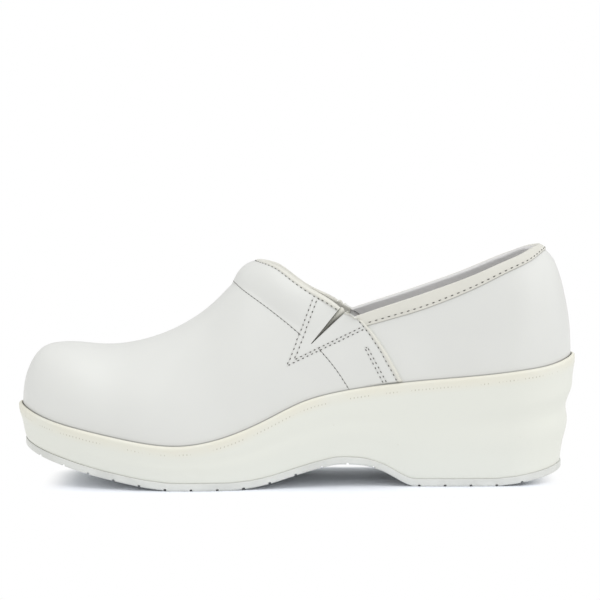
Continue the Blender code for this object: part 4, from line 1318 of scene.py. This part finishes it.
class CLOG_OT_midsole(bpy.types.Operator):
    """Make the midsole: tapered sides, a soft groove at the heel, a rolled lip and a cup"""

    bl_idname = "clog.midsole"
    bl_label = "Midsole"

    def execute(self, context):
        line, normal = sole_loops(settings("clog_sole").stations)
        walk = arc_lengths(line)
        rings, below_rim, joint_shade = [], [], []

        def ring(offset, height, drop=0.0, painted_shade=0.0):
            plan = line + normal * np.reshape(offset, (-1, 1))
            low, high = midsole_bottom(plan[:, 0]), rim(plan[:, 0])
            z = mix(low, high, height) - drop
            rings.append(np.column_stack([plan, z]))
            below_rim.append(high - z)
            joint_shade.append(np.full(len(line), float(painted_shade)))

        # The last number of each ring is painted shade: faint at the foot over the outsole, dark on
        # the lip's inner end and on the rings next to the upper
        ring(RIM_OVERHANG - taper_at(line[:, 0], normal, 0) - 0.0002, 0,
             1.1 * MIDSOLE_FOOT_DROP, 0.2)
        for height in np.linspace(0.0, 0.9, 46):
            sharp = hump(height, MIDSOLE_FOOT_SHARE)
            ring(RIM_OVERHANG - 0.0001 * sharp - taper_at(line[:, 0], normal, height), height,
                 MIDSOLE_FOOT_DROP * sharp, 0.04 * hump(height, 0.012))
        for turn in np.radians(np.linspace(0, 90, 9)):
            inward = LIP_RADIUS * (1 - np.cos(turn))
            ring(RIM_OVERHANG - inward, 1, LIP_RADIUS * (1 - np.sin(turn)),
                 0.7 * hump(inward - LIP_RADIUS, 0.0002))
        ring(CLEARANCE, 1, 0.0001, 1.0)
        ring(CLEARANCE, 1, 0.0015, 1.0)
        plan = line + normal * CLEARANCE
        rings.append(np.column_stack([plan, cup_floor(plan[:, 0])]))
        below_rim.append(np.full(len(line), 0.02))
        joint_shade.append(np.zeros(len(line)))
        values = {"below_rim": np.concatenate(below_rim), "joint_shade": np.concatenate(joint_shade),
                  "along": np.tile(walk, len(rings))}
        data = ring_mesh("midsole", rings, "covered", values)
        data.set_sharp_from_angle(angle=np.radians(55))
        finish = finish_named("moulded_foam", foam_finish)
        link(data, "sole_foam", finish, ("midsole",))
        return {"FINISHED"}


def tread_cutter():
    """Bars across the sole, each square to the underside where it cuts."""
    points, faces = [], []
    half = TREAD_GROOVE_WIDTH / 2
    for start, end in shoe_x(TREAD_ZONES.rows):
        for x in np.arange(start, end, TREAD_PITCH):
            slope = (underside(x + half) - underside(x - half)) / TREAD_GROOVE_WIDTH
            along = np.array([1, 0, slope]) / np.hypot(1, slope)
            up = np.array([-along[2], 0, along[0]])
            foot = np.array([x, 0, underside(x)])
            corners = [foot + along * a + up * b for a, b in
                       ((-half, -CUTTER_REACH), (half, -CUTTER_REACH),
                        (half, TREAD_GROOVE_DEPTH), (-half, TREAD_GROOVE_DEPTH))]
            faces += ring_faces(2, 4, "capped", len(points))
            for y in (-BALL_WIDTH, BALL_WIDTH):
                points += [corner + np.array([0, y, 0]) for corner in corners]
    return build_mesh("tread_bars", points, faces)


def channel_cutter():
    """One channel along the middle of the sole."""
    half = TREAD_CHANNEL_WIDTH / 2
    rings = []
    for x in np.linspace(*shoe_x(TREAD_CHANNEL_ZONE), 60):
        low, high = underside(x) - CUTTER_REACH, underside(x) + TREAD_CHANNEL_DEPTH
        rings.append([(x, centre(x) - half, low), (x, centre(x) + half, low),
                      (x, centre(x) + half, high), (x, centre(x) - half, high)])
    return ring_mesh("tread_channel", rings, "capped")


class CLOG_OT_outsole(bpy.types.Operator):
    """Make the outsole: a thin rubber layer, a little proud, with its tread cut in"""

    bl_idname = "clog.outsole"
    bl_label = "Outsole"

    def execute(self, context):
        line, normal = sole_loops(settings("clog_sole").stations)
        reach = RIM_OVERHANG - taper_at(line[:, 0], normal, 0.0) + OUTSOLE_PROUD
        rings, joint_shade = [], []
        radius = OUTSOLE_EDGE_RADIUS
        section = [(radius * (1 - np.sin(turn)), radius * (1 - np.cos(turn)), 0)
                   for turn in np.radians(np.linspace(0, 90, 6))]
        section += [(0, rise, 0)
                    for rise in np.linspace(0.0014, OUTSOLE_THICKNESS - OUTSOLE_EDGE_BEVEL, 5)]
        # The last number is painted shade on the top face next to the midsole
        section += [(0.0002, OUTSOLE_THICKNESS, 0.08), (0.0009, OUTSOLE_THICKNESS + 0.00004, 0.30)]
        for inset, rise, painted_shade in section:
            plan = line + normal * (reach - inset)[:, None]
            rings.append(np.column_stack([plan, underside(plan[:, 0]) + rise]))
            joint_shade.append(np.full(len(line), float(painted_shade)))
        data = ring_mesh("outsole", rings, "covered", {"joint_shade": np.concatenate(joint_shade)})
        cut = cut_away(data, (tread_cutter(), channel_cutter()), 40)
        finish = finish_named("moulded_rubber", rubber_finish)
        link(cut, "sole_rubber", finish, ("outsole",))
        return {"FINISHED"}


class CLOG_OT_insole(bpy.types.Operator):
    """Make the footbed: a soft cover with rounded edges, dished under the heel"""

    bl_idname = "clog.insole"
    bl_label = "Footbed"

    def execute(self, context):
        line, normal = sole_loops(120)
        side = WALL + 2 * CLEARANCE
        middle = np.column_stack([line[:, 0], centre(line[:, 0])])
        rings = []

        def ring(plan, share, dish=0.0):
            z = cup_floor(plan[:, 0]) + CLEARANCE + INSOLE_THICKNESS * share - dish
            rings.append(np.column_stack([plan, z]))

        ring(line - normal * side, 0.0)
        ring(line - normal * side, 0.7)
        for turn in np.radians((30, 60, 90)):
            inward = INSOLE_EDGE * (1 - np.cos(turn))
            ring(line - normal * (side + inward), 0.7 + 0.3 * np.sin(turn))
        inner = line - normal * (side + INSOLE_EDGE)
        for share in np.linspace(0, 0.97, 18)[1:]:
            plan = mix(inner, middle, share)
            heel = ease(plan[:, 0], *HEEL_DISH_ZONE)
            ring(plan, 1.0, HEEL_DISH * heel * ease(share, 0, 0.7))
        data = ring_mesh("insole", rings, "covered")
        finish = finish_named("brushed_cover", footbed_finish)
        link(data, "footbed", finish, ("insole",))
        return {"FINISHED"}


def on_surface(tree, points, outward):
    """Points dropped onto a piece's face, and the normals there."""
    spots, normals = [], []
    for point, out in zip(points, outward):
        spot, normal, _, _ = tree.find_nearest(Vector(point + out * 0.001))
        spots.append(spot)
        normals.append(normal if normal.dot(Vector(out)) > 0 else -normal)
    return np.array(spots), np.array(normals)


def add_row(points, faces, spots, normals, pitch, radius):
    """Add a row of stitches along a path on a surface to a mesh's points and faces."""
    along = arc_lengths(spots)
    count = max(1, round(along[-1] / pitch))
    step = along[-1] / count
    t = np.linspace(0, 1, STITCH_RINGS)
    turn = np.linspace(0, 2 * np.pi, STITCH_SIDES + 1)[:-1]
    for i in range(count):
        at = (i + 0.5 + mix(-STITCH_SHARE, STITCH_SHARE, t) / 2) * step
        line = np.column_stack([np.interp(at, along, spots[:, k]) for k in range(3)])
        out = np.column_stack([np.interp(at, along, normals[:, k]) for k in range(3)])
        out /= np.linalg.norm(out, axis=1)[:, None]
        ahead = np.gradient(line, axis=0)
        ahead /= np.linalg.norm(ahead, axis=1)[:, None]
        beside = np.cross(ahead, out)
        lift = radius * (1.35 * np.sin(np.pi * t) ** 0.6 - 0.85)
        thick = radius * mix(0.75, 1.0, np.sin(np.pi * t))
        faces += ring_faces(STITCH_RINGS, STITCH_SIDES, "capped", len(points))
        for j in range(STITCH_RINGS):
            core = line[j] + out[j] * lift[j]
            points += [core + thick[j] * (beside[j] * np.cos(angle) + out[j] * np.sin(angle))
                       for angle in turn]


def side_path(path, side):
    """A side-view path as dense points on the last, and directions away from it."""
    path = np.asarray(path)
    walk = arc_lengths(path)
    at = np.linspace(0, walk[-1], PATH_SAMPLES)
    x, z = np.interp(at, walk, path[:, 0]), np.interp(at, walk, path[:, 1])
    inside = z < crest(x)
    x, z = x[inside], z[inside]
    points = form_point(x, form_angle(x, z), side)
    nudge = 0.0005
    ahead = form_point(x + nudge, form_angle(x + nudge, z), side) - points
    above = form_point(x, form_angle(x, z - nudge), side) - points
    out = np.cross(ahead, above)
    out /= np.linalg.norm(out, axis=1)[:, None]
    out *= side * np.sign(out[:, 1:2] + 1e-9)
    return points, out


def lap_rows(line, along, place):
    """Rows from just above the rim to just below the top edge."""
    low = first_above(line, along, rim(line[:, 0]) + 0.0006)
    return np.linspace(low, along[-1] - 0.0016, 70)


def lap_path(side):
    """The line of stitches beside the lap's fold on one side, and directions away from it."""
    lap = Sheet([(side, place) for place in np.linspace(0.9, 1, 60)], lap_rows)
    gap = lap.lap_gap()
    points = []
    for row in range(gap.shape[1]):
        order = np.argsort(gap[:, row])
        points.append([np.interp(LAP_FOLD + ROW_GAP, gap[order, row], lap.points[order, row, k])
                       for k in range(3)])
    return np.array(points), lap.normal[-1]


def throat_rows(line, along, place):
    """The row of stitches below the throat's fold, last, and one below it for the slope."""
    return along[-1] - THROAT_FOLD - np.array([0.0014, ROW_GAP])


def collar_rows(line, along, place):
    """The row of stitches on the binding, last, and the binding's lower edge."""
    return along[-1] - np.array([1, BINDING_ROW]) * binding_depth(place)


class CLOG_OT_stitches(bpy.types.Operator):
    """Sew the rows of stitches onto the vamp and the binding"""

    bl_idname = "clog.stitches"
    bl_label = "Stitches"

    def execute(self, context):
        look = settings("clog_thread")
        context.view_layer.update()
        depsgraph = context.evaluated_depsgraph_get()
        trees = {name: BVHTree.FromObject(bpy.data.objects[name], depsgraph)
                 for name in ("vamp", "binding_strip")}
        groups = {name: ([], []) for name in ("vamp_stitches", "seam_stitches", "collar_stitches")}

        def sew(group, tree, points, outward, pitch=look.pitch, radius=look.radius):
            add_row(*groups[group], *on_surface(trees[tree], points, outward), pitch, radius)

        for side in (LATERAL, MEDIAL):
            for path in row_paths():
                for piece in zip(path, path[1:]):
                    sew("vamp_stitches", "vamp", *side_path(piece, side))
            for path in (SEAM_ONE, SEAM_TWO):
                sew("seam_stitches", "vamp", *side_path(side_view(path), side),
                    look.pitch * SEAM_PITCH, look.radius * SEAM_RADIUS)
            sew("vamp_stitches", "vamp", *lap_path(side))
        places = np.linspace(0, 0.86, 120)
        throat = Sheet(around(places[:0:-1], places), throat_rows)
        sew("vamp_stitches", "vamp", throat.points[:, 1], throat.normal[:, 1])
        places = np.linspace(COLLAR_ROW_START, 2, 160)
        collar = Sheet(around(places, places[-2::-1]), collar_rows)
        sew("collar_stitches", "binding_strip", collar.points[:, 1], collar.normal[:, 1],
            look.pitch * COLLAR_PITCH)

        finish = finish_named("thread", thread_finish)
        for name, (points, faces) in groups.items():
            link(build_mesh(name, points, faces), name, finish)
        return {"FINISHED"}


def studio_world(strength):
    """An even pale surround, seen as white and lit at its own strength."""
    world = bpy.data.worlds.new("studio")
    world.use_nodes = True
    tree = world.node_tree
    back = tree.nodes["Background"]
    back.inputs["Color"].default_value = (1, 1, 1, 1)
    path = tree.nodes.new("ShaderNodeLightPath")
    level = tree.nodes.new("ShaderNodeMapRange")
    level.inputs["To Min"].default_value = strength
    level.inputs["To Max"].default_value = 1.0
    tree.links.new(path.outputs["Is Camera Ray"], level.inputs["Value"])
    tree.links.new(level.outputs[0], back.inputs["Strength"])
    return world


class CLOG_OT_stage(bpy.types.Operator):
    """Set the pale floor, the soft lights and the camera"""

    bl_idname = "clog.stage"
    bl_label = "Stage"

    def execute(self, context):
        look = settings("clog_stage")
        floor = in_scene("floor", build_mesh("floor", FLOOR_CORNERS, [(0, 1, 2, 3)]))
        floor.data.materials.append(floor_finish())

        context.scene.world = studio_world(look.surround)
        context.scene.view_settings.view_transform = "Standard"
        for name, aim, softness, strength in (
                ("key", (-0.22, 0.12, -1.0), 60, look.key),
                ("fill", (-0.35, 0.9, -0.40), 100, look.fill),
                ("toe_light", (1.0, 0.1, -0.15), 60, look.ends),
                ("heel_light", (-1.0, 0.1, -0.15), 60, look.ends)):
            data = bpy.data.lights.new(name, "SUN")
            data.angle, data.energy = np.radians(softness), strength
            in_scene(name, data).rotation_euler = Vector(aim).to_track_quat("-Z", "Y").to_euler()

        data = bpy.data.cameras.new("camera")
        data.sensor_width, data.lens = 36, look.lens
        camera = in_scene("camera", data)
        camera.location = (CAMERA_X, -look.distance, look.height)
        camera.rotation_euler = (np.pi / 2 - look.tilt, 0, 0)
        context.scene.camera = camera
        return {"FINISHED"}


class CLOG_PT_sidebar(bpy.types.Panel):
    """Lists the pieces of the clog and their settings"""

    bl_label = "Clog"
    bl_idname = "CLOG_PT_sidebar"
    bl_space_type = "VIEW_3D"
    bl_region_type = "UI"
    bl_category = "Clog"

    def draw(self, context):
        for operator in OPERATORS:
            self.layout.operator(operator.bl_idname)
        for name, group in GROUPS.items():
            box = self.layout.box()
            box.label(text=group.__doc__)
            for key in group.__annotations__:
                box.prop(getattr(context.scene, name), key)


GROUPS = {"clog_leather": ClogLeather, "clog_thread": ClogThread, "clog_sole": ClogSole,
          "clog_stage": ClogStage}
OPERATORS = (CLOG_OT_stage, CLOG_OT_midsole, CLOG_OT_outsole, CLOG_OT_insole, CLOG_OT_lining,
             CLOG_OT_gores, CLOG_OT_quarter, CLOG_OT_vamp, CLOG_OT_binding, CLOG_OT_stitches)
CLASSES = tuple(GROUPS.values()) + OPERATORS + (CLOG_PT_sidebar,)


def register():
    for item in CLASSES:
        bpy.utils.register_class(item)
    for name, group in GROUPS.items():
        setattr(bpy.types.Scene, name, PointerProperty(type=group))


def unregister():
    for name in GROUPS:
        delattr(bpy.types.Scene, name)
    for item in reversed(CLASSES):
        bpy.utils.unregister_class(item)


def main():
    register()
    for operator in OPERATORS:
        group, name = operator.bl_idname.split(".")
        getattr(getattr(bpy.ops, group), name)()


if __name__ == "__main__":
    main()
